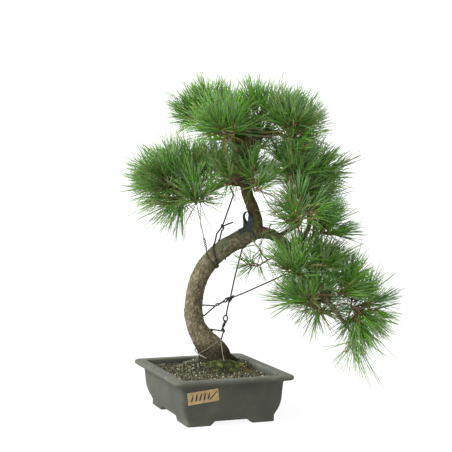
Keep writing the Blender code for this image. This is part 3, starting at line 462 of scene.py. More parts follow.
def bark_look():
    """Fine flakes of olive, grey and brown, with painted shade darkening the foot, and darker wood from the fork
    on.
    """
    look = Look("bark", (104, 94, 68), 0.9, 0.15)
    patches = look.noise(36, 4.0, 0.6, (1, 1, 0.8), 0.3)
    ground = look.ramp(patches, ((0.34, (74, 66, 46)), (0.46, (98, 88, 62)), (0.56, (88, 88, 70)),
                                 (0.68, (122, 114, 92))))
    speckle = look.ramp(look.noise(150, 5.0, 0.75, (1, 1, 0.65)), ((0.36, (30, 26, 18)), (0.5, (98, 92, 70)),
                                                                   (0.62, (150, 145, 123))))
    tone = look.node("Attribute", attribute_name="tone").outputs["Fac"]
    flakes = look.ramp(tone, ((0.1, (86, 74, 54)), (0.5, (106, 97, 72)), (1.0, (136, 130, 108))))
    plates = look.mix(0.3, look.mix(0.62, ground, speckle), flakes)
    relief = look.node("Attribute", attribute_name="relief").outputs["Fac"]
    open_bark = look.node("MapRange", {"Value": relief, "From Min": 0.0, "From Max": 0.75, "To Min": 0.35})
    cracked = look.mix(open_bark.outputs["Result"], linear((46, 39, 28)), plates)
    height = look.node("SeparateXYZ", {"Vector": look.place()}).outputs["Z"]
    damp = look.math("MULTIPLY", look.mask(look.noise(38, 3.0), 0.47, 0.62), 0.5)
    upper = look.math("MULTIPLY", look.mask(height, 0.26, 0.32), damp)
    mossy = look.mix(upper, cracked, linear((76, 86, 62)))
    foot = look.math("MULTIPLY", look.mask(height, 0.150, 0.095), damp)
    mossy = look.mix(foot, mossy, linear((62, 72, 34)))
    # Painted shade: the bark is darkened towards the soil, from 146 mm above the pot's underside down.
    shaded_foot = look.mix(look.mask(height, 0.146, 0.108), mossy, linear((128, 124, 118)), "MULTIPLY")
    dark = look.mix(look.mask(height, 0.338, 0.362), shaded_foot, linear((212, 202, 174)), "MULTIPLY")
    look.colour(dark)
    look.bump(look.noise(420, 5.0, 0.7), 0.6, 0.0006)
    return look.material


def pot_look():
    """Matt unglazed stoneware, paler on its rim, with pale patches on the rim that are partly scuffs and partly
    a painted highlight along its edge, and dried water marks.
    """
    look = Look("stoneware", (60, 62, 53), 0.72, 0.3)
    clouds = look.noise(16, 4.0, 0.55, (1, 1, 0.7), 0.5)
    body = look.ramp(clouds, ((0.32, (52, 54, 46)), (0.5, (60, 62, 53)), (0.68, (69, 70, 60))))
    specks = look.mask(look.noise(420, 3.0, 0.7), 0.6, 0.72)
    body = look.mix(look.math("MULTIPLY", specks, 0.28), body, linear((100, 100, 88)))
    height = look.node("SeparateXYZ", {"Vector": look.place()}).outputs["Z"]
    rim = look.math("MULTIPLY", look.mask(height, 0.0795, 0.0885), 0.55)
    body = look.mix(rim, body, linear((74, 76, 64)))
    # Pale bluish patches on the rim: partly scuffs, partly a painted highlight along the rim's top edge.
    scuffs_and_highlight = look.mask(look.noise(75, 5.0, 0.7, (1, 1, 0.5)), 0.52, 0.68)
    body = look.mix(look.math("MULTIPLY", scuffs_and_highlight, rim), body, linear((104, 108, 102)))
    stains = look.mask(look.noise(24, 5.0, 0.65, (1, 1, 0.35), 0.8), 0.56, 0.72)
    body = look.mix(look.math("MULTIPLY", stains, 0.32), body, linear((90, 92, 80)))
    dusty = look.math("MULTIPLY", look.mask(look.noise(70, 5.0, 0.7), 0.55, 0.75), 0.4)
    body = look.mix(dusty, body, linear((44, 44, 38)))
    look.colour(body)
    look.rough(look.node("MapRange", {"Value": clouds, "To Min": 0.6, "To Max": 0.82}).outputs["Result"])
    look.bump(look.noise(300, 5.0, 0.65), 0.35, 0.0004)
    return look.material


# Meshes


def place_piece(name, mesh, nodes=()):
    """Makes a piece of a mesh built round the middle of the pot's underside."""
    mesh.name = name
    obj = bpy.data.objects.new(name, mesh)
    bpy.context.scene.collection.objects.link(obj)
    mesh.transform(Matrix.Translation(POT_CENTRE))
    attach(obj, "root")
    if nodes:
        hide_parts(*nodes)
    return obj


class Gatherer:
    """Triangles gathered from many small shapes, each with the slot of its material."""

    def __init__(self):
        self.points = []
        self.faces = []
        self.slots = []
        self.count = 0

    def add(self, points, faces, slots):
        points = np.asarray(points, float).reshape(-1, 3)
        faces = np.asarray(faces, int).reshape(-1, 3)
        self.points.append(points)
        self.faces.append(faces + self.count)
        self.slots.append(np.broadcast_to(slots, len(faces)))
        self.count += len(points)

    def loft(self, rings, slot, closed=(True, True)):
        """A tube through rings of equally many points."""
        rings = np.asarray(rings, float)
        rows, sides = rings.shape[:2]
        index = np.arange(rows * sides).reshape(rows, sides)
        low, high = index[:-1], index[1:]
        low_next, high_next = np.roll(low, -1, axis=1), np.roll(high, -1, axis=1)
        faces = [np.stack([low, low_next, high_next], axis=-1).reshape(-1, 3),
                 np.stack([low, high_next, high], axis=-1).reshape(-1, 3)]
        for ring, wanted, turn in ((index[0], closed[0], -1), (index[-1], closed[1], 1)):
            if wanted:
                ring = ring[::turn]
                faces.append([(ring[0], a, b) for a, b in zip(ring[1:], ring[2:])])
        self.add(rings.reshape(-1, 3), np.concatenate(faces), slot)

    def tube(self, path, sides, slot, closed=(True, True), wobble=0.0, rng=None):
        """A round tube along (place, radius) pairs, knobbly where it wobbles."""
        rings = []
        for frame_here in frames_along(path):
            grow = 1 + (rng.uniform(-wobble, wobble) if wobble else 0)
            rings.append(ring_round(frame_here, sides, grow))
        self.loft(rings, slot, closed)

    def mesh(self, name, materials, smooth=True):
        made = bpy.data.meshes.new(name)
        points = np.concatenate(self.points)
        faces = np.concatenate(self.faces)
        made.vertices.add(len(points))
        made.vertices.foreach_set("co", points.astype(np.float32).ravel())
        made.loops.add(faces.size)
        made.loops.foreach_set("vertex_index", faces.astype(np.int32).ravel())
        made.polygons.add(len(faces))
        made.polygons.foreach_set("loop_start", np.arange(0, faces.size, 3, dtype=np.int32))
        made.polygons.foreach_set("material_index", np.concatenate(self.slots).astype(np.int32))
        made.polygons.foreach_set("use_smooth", np.full(len(faces), smooth))
        for material in materials:
            made.materials.append(material)
        made.update(calc_edges=True)
        return made


def bmesh_loft(bm, rings):
    """Joins rings of equally many points in a bmesh, and closes the first and the last."""
    loops = [[bm.verts.new(point) for point in ring] for ring in rings]
    for low, high in zip(loops, loops[1:]):
        for i, corner in enumerate(low):
            j = (i + 1) % len(low)
            bm.faces.new((corner, low[j], high[j], high[i]))
    bm.faces.new(reversed(loops[0]))
    bm.faces.new(loops[-1])


def mesh_of(bm, name):
    bmesh.ops.recalc_face_normals(bm, faces=bm.faces)
    mesh = bpy.data.meshes.new(name)
    bm.to_mesh(mesh)
    bm.free()
    return mesh


def helper(name, mesh):
    obj = bpy.data.objects.new(name, mesh)
    bpy.context.scene.collection.objects.link(obj)
    return obj


def evaluated_mesh(obj, helpers=()):
    """The mesh of an object with its modifiers applied, once it and its helpers are gone."""
    graph = bpy.context.evaluated_depsgraph_get()
    mesh = bpy.data.meshes.new_from_object(obj.evaluated_get(graph))
    for done in (obj, *helpers):
        bpy.data.objects.remove(done)
    return mesh


# Paths


def smooth_path(points, steps=PATH_STEPS):
    """Points and radii along a smooth curve through (point, radius) pairs."""
    rows = [Vector((*point, radius)) for point, radius in points]
    rows = [rows[0] * 2 - rows[1]] + rows + [rows[-1] * 2 - rows[-2]]
    path = []
    for a, b, c, d in zip(rows, rows[1:], rows[2:], rows[3:]):
        for step in range(steps):
            t = step / steps
            path.append(0.5 * (2 * b + (c - a) * t + (2 * a - 5 * b + 4 * c - d) * t ** 2
                               + (3 * b - a - 3 * c + d) * t ** 3))
    path.append(rows[-2])
    return [(Vector(row[:3]), row[3]) for row in path]


def frames_along(path):
    """(middle, radius, tangent, side, lift) along a path, turning as little as it can."""
    places = [place for place, _ in path]
    side = None
    frames = []
    for i, (place, radius) in enumerate(path):
        tangent = (places[min(i + 1, len(places) - 1)] - places[max(i - 1, 0)]).normalized()
        if side is None:
            level = tangent.cross(UP) if abs(tangent.z) < 0.95 else tangent.cross(Vector((0, -1, 0)))
            side = level.normalized()
        side = (side - tangent * side.dot(tangent)).normalized()
        frames.append((place, radius, tangent, side, tangent.cross(side)))
    return frames


def evenly(points, step):
    """Points along a path, at least one for each step."""
    path = []
    for a, b in zip(points, points[1:]):
        count = max(math.ceil((b - a).length / step), 1)
        path += [a.lerp(b, i / count) for i in range(count)]
    return path + [points[-1]]


def ring_round(frame_here, sides, grow=1.0, shape=None):
    place, radius, _, side, lift = frame_here
    ring = []
    for i in range(sides):
        angle = math.tau * i / sides
        outward = side * math.cos(angle) + lift * math.sin(angle)
        swell = shape(place, outward) if shape else 1.0
        ring.append(place + outward * (radius * swell * grow))
    return ring


def bezier(start, bend, end, count):
    return [start * (1 - t) ** 2 + bend * 2 * t * (1 - t) + end * t ** 2
            for t in (i / count for i in range(count + 1))]


# Limbs, planned as their solids are


def root_swell(place, outward):
    """How far the roots push the foot of the trunk out on one side."""
    height = place.z / MM
    fade = min(max((FLARE_TOP - height) / (FLARE_TOP - TRUNK[0][1]), 0), 1) ** 1.5
    turn = Matrix.Rotation(math.radians(-TREE_TURN), 3, "Z")
    flat = turn @ outward
    angle = math.degrees(math.atan2(flat.y, flat.x))
    swell = 1.0
    for heading, share, width in ROOTS:
        off = (angle - heading + 180) % 360 - 180
        swell += share * fade * math.exp(-(off / width) ** 2)
    return swell


def plan_limbs():
    """The rows of points and radii of each limb; a bough starts on its parent's axis."""
    rows = {"trunk": [(tree_point(across, 0, above), radius * MM) for across, above, radius in TRUNK]}
    paths = {"trunk": smooth_path(rows["trunk"])}
    for name, (parent, points, thick, thin) in BOUGHS.items():
        places = [tree_point(*point) for point in points]
        nearest = min(paths[parent], key=lambda row: (row[0] - places[0]).length)
        places[0], parent_radius = nearest
        last = len(places) - 1
        radii = [(thick + (thin - thick) * i / last) * MM for i in range(last + 1)]
        if radii[0] > THICK_SHARE * parent_radius:
            radii[0] *= HIDDEN_START
        rows[name] = list(zip(places, radii))
        paths[name] = smooth_path(rows[name])
    return rows, paths


def along_limb(limb, share):
    """The middle, radius and direction of a limb at a share of the way along it."""
    path = LIMBS[limb]
    at = min(max(share, 0), 1) * (len(path) - 1)
    index = min(int(at), len(path) - 2)
    (low, low_radius), (high, high_radius) = path[index], path[index + 1]
    part = at - index
    return low.lerp(high, part), low_radius + (high_radius - low_radius) * part, (high - low).normalized()


# Skeletons of the foliage masses, planned as in their solids


class Skeleton:
    """The stem, twigs and shoots of one mass."""

    def __init__(self, out):
        self.out = out
        self.twigs = []
        self.shoots = []

    def branches(self):
        return [pair for twig in self.twigs for pair in zip(twig, twig[1:])]

    def cores(self):
        return [(base, base + direction * CORE_LENGTH * MM) for base, direction in self.shoots]


def stem_start(limb, share, heart):
    """Where a stem starts: just past its limb's tip, or in its side towards the heart."""
    place, radius, along = along_limb(limb, share)
    if share == 1.0:
        return place + along * CLEARANCE, along
    out = heart - place
    out = (out - along * out.dot(along)).normalized()
    return place + out * radius * SUNK_START, out


def fan_direction(heading, index, rng):
    """Directions spread round a heading by the golden angle, the first one along it."""
    if index == 0:
        return heading
    around = Matrix.Rotation(math.radians(GOLDEN_ANGLE * index + rng.uniform(-20, 20)), 3, heading)
    sideways = heading.cross(UP if abs(heading.z) < 0.9 else Vector((0, 1, 0))).normalized()
    tilt = math.radians(rng.uniform(*FAN_TILT))
    return (heading * math.cos(tilt) + around @ sideways * math.sin(tilt)).normalized()


def distances(points, segments):
    """The distance from each point to each of the segments, as numpy arrays."""
    starts, ends = segments
    along = ends - starts
    length = np.maximum((along * along).sum(axis=1), 1e-12)
    offset = points[:, None, :] - starts[None]
    share = np.clip((offset * along).sum(axis=2) / length, 0, 1)
    return np.linalg.norm(offset - share[..., None] * along, axis=2)


def as_arrays(pairs):
    return (np.array([tuple(a) for a, _ in pairs]), np.array([tuple(b) for _, b in pairs]))


def is_clear(points, fixed, others):
    """Whether a twig through these points keeps away from limbs, wires and other masses."""
    samples = np.array([tuple(point) for point in points])
    pairs, radii = fixed
    if (distances(samples, as_arrays(pairs)) - np.array(radii)).min() < TWIG_MARGIN * MM:
        return False
    return not others or distances(samples, as_arrays(others)).min() > 2 * TWIG_MARGIN * MM


def grow_skeleton(name, fixed, others):
    """A stem to the heart of the mass, with a twig and a shoot for each direction."""
    limb, share, heart, heading, count = MASSES[name]
    rng = random.Random(f"{SEED} {name}")
    heart = tree_point(*heart)
    heading = tree_direction(*heading)
    start, out = stem_start(limb, share, heart)
    skeleton = Skeleton(out)
    reach = (heart - start).length
    stem = bezier(start, start + out * reach * 0.45, heart, 4)
    skeleton.twigs.append(stem)
    skeleton.shoots.append((heart, heading))
    index = 0
    while len(skeleton.shoots) < count and index < 3 * count:
        index += 1
        direction = fan_direction(heading, index, rng)
        fork = stem[2] if reach > 2 * FAN_REACH * MM else stem[3]
        root = fork.lerp(heart, rng.uniform(0.0, 0.6))
        tip = root + direction * FAN_REACH * MM * rng.uniform(0.8, 1.1)
        facing = (direction + heading * HEADING_SHARE + UP * LIFT_SHARE).normalized()
        twig = bezier(root, root.lerp(tip, 0.5) + heading * 5 * MM, tip, 2)
        ends = [tip + facing * CORE_LENGTH * MM * share for share in (0.5, 1.0)]
        own = [base for base, _ in skeleton.shoots] + [base + way * CORE_LENGTH * MM
                                                       for base, way in skeleton.shoots]
        apart = min((tip - place).length for place in own)
        if apart > LEAST_APART * MM and is_clear(twig[1:] + ends, fixed, others):
            skeleton.twigs.append(twig)
            skeleton.shoots.append((tip, facing))
    return skeleton


def fixed_segments(wires):
    """Every limb and wire as segments with a radius."""
    pairs, radii = [], []
    for path in list(LIMBS.values()) + [[(p, WIRE_RADIUS * MM) for p in wire] for wire in wires]:
        for (a, radius), (b, _) in zip(path, path[1:]):
            pairs.append((a, b))
            radii.append(radius)
    return pairs, radii


def round_limb(limb, place, start, end, lift, steps=8, radius=WIRE_RADIUS):
    """Points of a turn round a limb, between two shares along it and two angles.

    Seen from the front and looking along the limb, angle 0 is on its left, and angles
    grow over the front to its right and on round the back.
    """
    points = []
    for i in range(steps + 1):
        middle, limb_radius, along = along_limb(limb, place[0] + (place[1] - place[0]) * i / steps)
        front = tree_direction(0, -1, 0)
        left = front.cross(along).normalized()
        angle = math.radians(start + (end - start) * i / steps)
        outward = left * math.cos(angle) + front * math.sin(angle)
        swell = root_swell(middle, outward) if limb == "trunk" else 1.0
        chord = math.cos(math.radians(abs(end - start) / steps / 2))
        points.append(middle + outward * (limb_radius * swell / chord + (radius + lift) * MM + CLEARANCE))
    return points


def wire_routes(turn_steps=(14, 8, 14, 14)):
    """The points that each guy wire passes, from its upper end."""
    left, thin, down, cascade = turn_steps
    return {
        "guy_wire_left": (
            round_limb("bough_left", (0.2, 0.2), 0, 0, 0, steps=1)[:1]
            + [tree_point(22, -2, 363)]
            + round_limb("trunk", (0.70, 0.665), -10, 335, 0.3, steps=left)
            + [tree_point(21, 2, 356)]
        ),
        "guy_wire_thin": (
            round_limb("bough_left", (0.7, 0.7), 0, 0, 0, steps=1)[:1]
            + [tree_point(-12, -3, 335)]
            + round_limb("trunk", (0.655, 0.60), 5, 170, 0.3, steps=thin)
        ),
        "guy_wire_down": (
            round_limb("trunk", (0.82, 0.82), 180, 180, 0, steps=1)[:1]
            + [tree_point(51, 5, 275), tree_point(37, 6, 219)]
            + [tree_point(27, 4, 177), tree_point(23, 3, 154)]
            + round_limb("trunk", (0.246, 0.225), -180, 150, 0.5, steps=down)
        ),
        "guy_wire_cascade": (
            round_limb("bough_cascade", (0.3, 0.3), 180, 180, 0, steps=1)[:1]
            + [tree_point(117, -3, 254), tree_point(46, -1, 223)]
            + round_limb("trunk", (0.42, 0.37), -180, 160, 0.3, steps=cascade)
        ),
    }


# Bark: one skin over the trunk and the boughs

BARK_VOXEL = 1.25 * MM
TRUNK_RING = 28
BOUGH_RING = 12
SURFACE_ROOTS = ((-8, 54, 6), (-48, 40, 6), (115, 46, 6), (205, 44, 6.5), (290, 40, 6.5))
FLAKE_WIDTH = (2.4, 4.8)
FLAKE_STRETCH = 1.9
CRACK_WIDTH = 0.3
# What the softening of the skin takes off a limb
SKIN_GROWTH = 0.6
# Knots and old cuts: place across, behind and above, width and rise
KNOTS = (((-52, -2, 184), 8, 1.6), ((-14, -6, 160), 6, 2.6), ((94, -8, 360), 10, 1.6),
         ((60, -6, 322), 7, 1.6), ((24, -16, 300), 7, 1.2), ((-40, -14, 232), 6, 1.3),
         ((-4, -20, 130), 8, 1.6), ((130, -12, 340), 7, 1.5), ((76, -12, 420), 6, 1.6))


def root_path(heading, reach, radius):
    """A root that leaves the foot of the trunk and goes down into the soil."""
    foot = tree_point(*TREE_CENTRE, 0)
    way = tree_direction(math.cos(math.radians(heading)), math.sin(math.radians(heading)), 0)
    rows = []
    for share, above, thick in ((0.1, 22, 1.0), (0.45, 13, 1.0), (0.75, 2.5, 0.75), (1.0, -4, 0.5)):
        place = foot + way * reach * share * MM
        place.z = soil_height(place) + above * MM
        rows.append((place, radius * thick * MM))
    return smooth_path(rows, 4)


def limbs_in_one():
    """The skin round every limb and surface root, with soft forks."""
    bm = bmesh.new()
    for name, rows in ROWS.items():
        sides = TRUNK_RING if name == "trunk" else BOUGH_RING
        shape = root_swell if name == "trunk" else None
        if name in BOUGHS:
            rows = [(rows[0][0], BOUGHS[name][2] * MM)] + rows[1:]
        path = [(place, radius + SKIN_GROWTH * MM) for place, radius in smooth_path(rows, FINE_STEPS)]
        bmesh_loft(bm, [ring_round(row, sides, 1.0, shape) for row in frames_along(path)])
    for root in SURFACE_ROOTS:
        bmesh_loft(bm, [ring_round(row, BOUGH_RING) for row in frames_along(root_path(*root))])
    obj = helper("bark_source", mesh_of(bm, "bark_source"))
    remesh = obj.modifiers.new("Skin", "REMESH")
    remesh.mode = "VOXEL"
    remesh.voxel_size = BARK_VOXEL
    soften = obj.modifiers.new("Soften", "SMOOTH")
    soften.factor = 0.5
    soften.iterations = 7
    return evaluated_mesh(obj)


class Straightened:
    """Places on the limbs as if each limb were straight: two ways off its axis, and along."""

    def __init__(self):
        starts, ends, radii, sides, lifts, arcs = [], [], [], [], [], []
        for number, path in enumerate(FINE_LIMBS.values()):
            rows = frames_along(path)
            arc = number * 1.0
            for (place, radius, _, side, lift), (following, *_) in zip(rows, rows[1:]):
                starts.append(tuple(place))
                ends.append(tuple(following))
                radii.append(radius)
                sides.append(tuple(side))
                lifts.append(tuple(lift))
                arcs.append(arc)
                arc += (following - place).length
        self.segments = np.array(starts), np.array(ends)
        self.radii, self.sides, self.lifts = np.array(radii), np.array(sides), np.array(lifts)
        self.arcs = np.array(arcs)

    def places(self, points):
        """Rows of millimetres off the axis both ways and along it, and the limb's radius."""
        found = []
        for part in np.array_split(points, max(len(points) // 3000, 1)):
            nearest = (distances(part, self.segments) - self.radii).argmin(axis=1)
            start, end = self.segments[0][nearest], self.segments[1][nearest]
            way = end - start
            length = np.linalg.norm(way, axis=1)
            offset = part - start
            share = (offset * way).sum(axis=1) / length
            off_axis = offset - way * (share / length)[:, None]
            found.append(np.stack([(off_axis * self.sides[nearest]).sum(axis=1),
                                   (off_axis * self.lifts[nearest]).sum(axis=1),
                                   self.arcs[nearest] + share, self.radii[nearest]], axis=1))
        return np.concatenate(found) / MM


def smooth_step(value, low, high):
    share = min(max((value - low) / (high - low), 0.0), 1.0)
    return share * share * (3 - 2 * share)


def bark_relief(side, lift, along, radius):
    """How far one place of the bark rises, in millimetres, its depth in a crack, its tone."""
    place = Vector((side, lift, along))
    width = min(max(radius * 0.3, FLAKE_WIDTH[0]), FLAKE_WIDTH[1])
    ragged = place + noise.noise_vector(place / 4) * width * 0.75
    cell = Vector((ragged.x / width, ragged.y / width, ragged.z / (width * FLAKE_STRETCH)))
    near, seeds = noise.voronoi(cell)
    crack = smooth_step(near[1] - near[0], 0.0, CRACK_WIDTH)
    tone = noise.cell(seeds[0] * 7.31 + Vector((3.1, 1.7, 0.4))) % 1.0
    fine = noise.fractal(place / 1.9, 1.0, 2.0, 3)
    furrow = noise.noise(Vector((place.x / 5, place.y / 5, place.z / 17)))
    lumps = noise.noise(place / 21)
    height = min(max(radius * 0.05, 0.25), 0.8)
    rise = height * (0.7 * (crack - 1) + 0.5 * (tone - 0.5) * crack + 0.6 * fine + 0.8 * furrow)
    return rise + 0.05 * radius * lumps, crack * (0.75 + 0.25 * fine), tone


def make_bark():
    mesh = limbs_in_one()
    count = len(mesh.vertices)
    points = np.empty(count * 3, np.float32)
    mesh.vertices.foreach_get("co", points)
    points = points.reshape(-1, 3).astype(float)
    normals = np.empty(count * 3, np.float32)
    mesh.vertex_normals.foreach_get("vector", normals)
    normals = normals.reshape(-1, 3)
    rows = np.array([bark_relief(*row) for row in STRAIGHTENED.places(points)])
    rise = rows[:, 0]
    for place, size, most in KNOTS:
        off = np.linalg.norm(points - np.array(tree_point(*place)), axis=1) / MM
        rise = rise + most * np.exp(-(off / size) ** 2)
    moved = points + normals * rise[:, None] * MM
    mesh.vertices.foreach_set("co", moved.astype(np.float32).ravel())
    for name, values in (("relief", rows[:, 1]), ("tone", rows[:, 2])):
        layer = mesh.attributes.new(name, "FLOAT", "POINT")
        layer.data.foreach_set("value", values.astype(np.float32))
    mesh.materials.clear()
    mesh.materials.append(bark_look())
    mesh.shade_smooth()
    mesh.update()
    place_piece("bark", mesh, LIMBS)


# Pot, soil and moss


def pot_ring(inset, height, steps=CORNER_STEPS):
    """A rounded rectangle, inset from the outer edge of the rim."""
    corner = max(RIM_CORNER - inset * 0.3, LEAST_CORNER)
    half_x, half_y = POT_WIDTH / 2 - inset - corner, POT_DEPTH / 2 - inset - corner
    ring = []
    for sign_x, sign_y, start in ((1, 1, 0), (-1, 1, 90), (-1, -1, 180), (1, -1, 270)):
        for step in range(steps + 1):
            angle = math.radians(start + 90 * step / steps)
            ring.append(Vector((sign_x * half_x + corner * math.cos(angle),
                                sign_y * half_y + corner * math.sin(angle), height)))
    return ring


def body_inset(height):
    """How far the pot's outer wall is inset at a height, in millimetres."""
    for (low_inset, low), (high_inset, high) in zip(BODY_PROFILE, BODY_PROFILE[1:]):
        if height <= high:
            return low_inset + (high_inset - low_inset) * (height - low) / (high - low)
    return BODY_PROFILE[-1][0]


def foot_cutter(name, half_foot, leg_end, along_x):
    """A channel with sloping ends, which leaves a foot at each end of a side."""
    bm = bmesh.new()
    reach = POT_DEPTH
    profile = ((-leg_end, -UNDERSIDE), (leg_end, -UNDERSIDE), (leg_end, 0),
               (half_foot, UNDERSIDE), (-half_foot, UNDERSIDE), (-leg_end, 0))
    rings = []
    for far in (-reach, reach):
        rings.append([Vector((across, far, z) if along_x else (far, across, z))
                      for across, z in profile])
    bmesh_loft(bm, rings)
    return helper(name, mesh_of(bm, name))


def make_pot():
    rows = [(Vector((inset, height, 0)), 0.0) for inset, height in BODY_PROFILE]
    body = [(place.x, place.y) for place, _ in smooth_path(rows, BODY_STEPS)]
    bm = bmesh.new()
    bmesh_loft(bm, [pot_ring(inset * MM, height * MM)
                    for inset, height in [(31, 0), (31, 5)] + body + list(RIM_PROFILE)])
    pot = helper("pot_source", mesh_of(bm, "pot_source"))
    half_x, half_y = POT_WIDTH / 2 - FOOT_INSET, POT_DEPTH / 2 - FOOT_INSET
    end_x, end_y = half_x - FOOT_ALONG_X, half_y - FOOT_ALONG_Y
    cutters = [foot_cutter("cut_front_to_back", end_x - FOOT_CHAMFER, end_x, True),
               foot_cutter("cut_side_to_side", end_y - FOOT_CHAMFER, end_y, False)]
    bm = bmesh.new()
    bmesh.ops.create_cube(bm, size=1)
    inside = Matrix.Diagonal((2 * (half_x - FOOT_LEG), 2 * (half_y - FOOT_LEG), 2 * UNDERSIDE, 1))
    bmesh.ops.transform(bm, matrix=inside, verts=bm.verts)
    cutters.append(helper("cut_between_feet", mesh_of(bm, "cut_between_feet")))
    for cutter in cutters:
        modifier = pot.modifiers.new(cutter.name, "BOOLEAN")
        modifier.operation = "DIFFERENCE"
        modifier.object = cutter
    bevel = pot.modifiers.new("Worn edges", "BEVEL")
    bevel.width = 0.9 * MM
    bevel.segments = 2
    bevel.limit_method = "ANGLE"
    bevel.angle_limit = math.radians(38)
    mesh = evaluated_mesh(pot, cutters)
    mesh.shade_smooth()
    mesh.set_sharp_from_angle(angle=math.radians(50))
    mesh.materials.clear()
    mesh.materials.append(pot_look())
    place_piece("pot_body", mesh, ["pot"])


def soil_height(point):
    """Height of the soil: level at the walls and rising to the flat top of the mound."""
    middle = tree_point(*TREE_CENTRE, 0)
    share = (Vector((point.x, point.y)) - Vector((middle.x, middle.y))).length
    share = min(max((MOUND_FOOT - share) / (MOUND_FOOT - MOUND_FLAT), 0), 1)
    return SOIL_EDGE + (SOIL_TOP - SOIL_EDGE) * share * share * (3 - 2 * share)


def make_soil():
    """Fine dark grit between the grains, from the bottom of the pot up."""
    rings = []
    for inset, height in ((36, 16.5), (29.4, 26), (25, 50), (23.4, 74)):
        rings.append(pot_ring(inset * MM, height * MM))
    rings_in = 26
    middle = tree_point(*TREE_CENTRE, 0)
    middle.z = 0
    for i in range(rings_in + 1):
        ring = []
        for point in pot_ring(SOIL_WALL, 0):
            spot = middle.lerp(point, 1 - 0.97 * i / rings_in)
            rough = noise.fractal(spot / (7 * MM), 1.0, 2.0, 3) * 0.9 * MM
            spot.z = soil_height(spot) + rough - 0.8 * MM
            ring.append(spot)
        rings.append(ring)
    bed = Gatherer()
    bed.loft(rings, 0)
    look = mottled("grit_bed", ((32, 30, 21), (48, 46, 33), (62, 60, 46)), 260, 0.95, (0.6, 0.0008))
    place_piece("soil_bed", bed.mesh("soil_bed", [look]), ["soil"])


def icosahedron():
    bm = bmesh.new()
    bmesh.ops.create_icosphere(bm, subdivisions=1, radius=1.0)
    points = np.array([tuple(vert.co) for vert in bm.verts])
    faces = np.array([[vert.index for vert in face.verts] for face in bm.faces])
    bm.free()
    return points, faces


GRAIN_COLOURS = ((50, 51, 38), (68, 67, 50), (86, 84, 64), (112, 108, 86), (150, 146, 124),
                 (56, 46, 33), (40, 43, 32), (58, 62, 42), (78, 64, 44))
GRAIN_WEIGHTS = (8, 8, 6, 4, 2, 4, 7, 4, 2)


def random_turns(rng, count):
    """Matrices that turn a shape any way."""
    rows = rng.normal(size=(count, 4))
    w, x, y, z = (rows / np.linalg.norm(rows, axis=1, keepdims=True)).T
    return np.stack([1 - 2 * (y * y + z * z), 2 * (x * y - z * w), 2 * (x * z + y * w),
                     2 * (x * y + z * w), 1 - 2 * (x * x + z * z), 2 * (y * z - x * w),
                     2 * (x * z - y * w), 2 * (y * z + x * w), 1 - 2 * (x * x + y * y)],
                    axis=1).reshape(-1, 3, 3)


def make_grains():
    rng = np.random.default_rng(SEED)
    half_x, half_y = POT_WIDTH / 2 - SOIL_WALL - 2 * MM, POT_DEPTH / 2 - SOIL_WALL - 2 * MM
    across = np.arange(-half_x, half_x, GRAIN_STEP)
    deep = np.arange(-half_y, half_y, GRAIN_STEP)
    spots = np.array([(x, y) for x in across for y in deep])
    spots = spots + rng.uniform(-0.6, 0.6, spots.shape) * GRAIN_STEP
    spots = np.clip(spots, (-half_x, -half_y), (half_x, half_y))
    foot = tree_point(*TREE_CENTRE, 0)
    spots = spots[np.hypot(spots[:, 0] - foot.x, spots[:, 1] - foot.y) > 25 * MM]
    base, faces = icosahedron()
    count = len(spots)
    sizes = rng.uniform(*GRAIN_SIZE, count) * MM
    shapes = rng.uniform(0.6, 1.15, (count, 1, 3)) * rng.uniform(0.82, 1.12, (count, len(base), 3))
    turned = np.einsum("nij,nkj->nki", random_turns(rng, count), base[None] * shapes)
    heights = np.array([soil_height(Vector((x, y, 0))) for x, y in spots])
    middles = np.column_stack([spots, heights + rng.uniform(-0.4, 0.7, count) * MM])
    points = turned * sizes[:, None, None] + middles[:, None, :]
    every = faces[None] + (np.arange(count) * len(base))[:, None, None]
    weights = np.array(GRAIN_WEIGHTS) / sum(GRAIN_WEIGHTS)
    colours = np.repeat(rng.choice(len(GRAIN_WEIGHTS), count, p=weights), len(faces))
    grains = Gatherer()
    grains.add(points, every, colours)
    looks = plain_looks("grain", GRAIN_COLOURS, 0.9)
    place_piece("soil_grains", grains.mesh("soil_grains", looks, smooth=False))


def moss_place(name, middle, halves, spin, thickness, share, angle):
    """A place on a ragged cushion, from its edge at share 1 to its middle at 0."""
    ragged = 1 + 0.42 * noise.noise(Vector((math.cos(angle) * 1.7, math.sin(angle) * 1.7, len(name))))
    spot = middle + spin @ Vector((halves[0] * math.cos(angle), halves[1] * math.sin(angle), 0)) * share * ragged
    lumps = noise.noise(spot / (7 * MM)) * 1.6 * MM
    spot.z = soil_height(spot) - 1.8 * MM + (thickness * 0.8 + lumps) * max(1 - share ** 2, 0) ** 0.8
    return spot


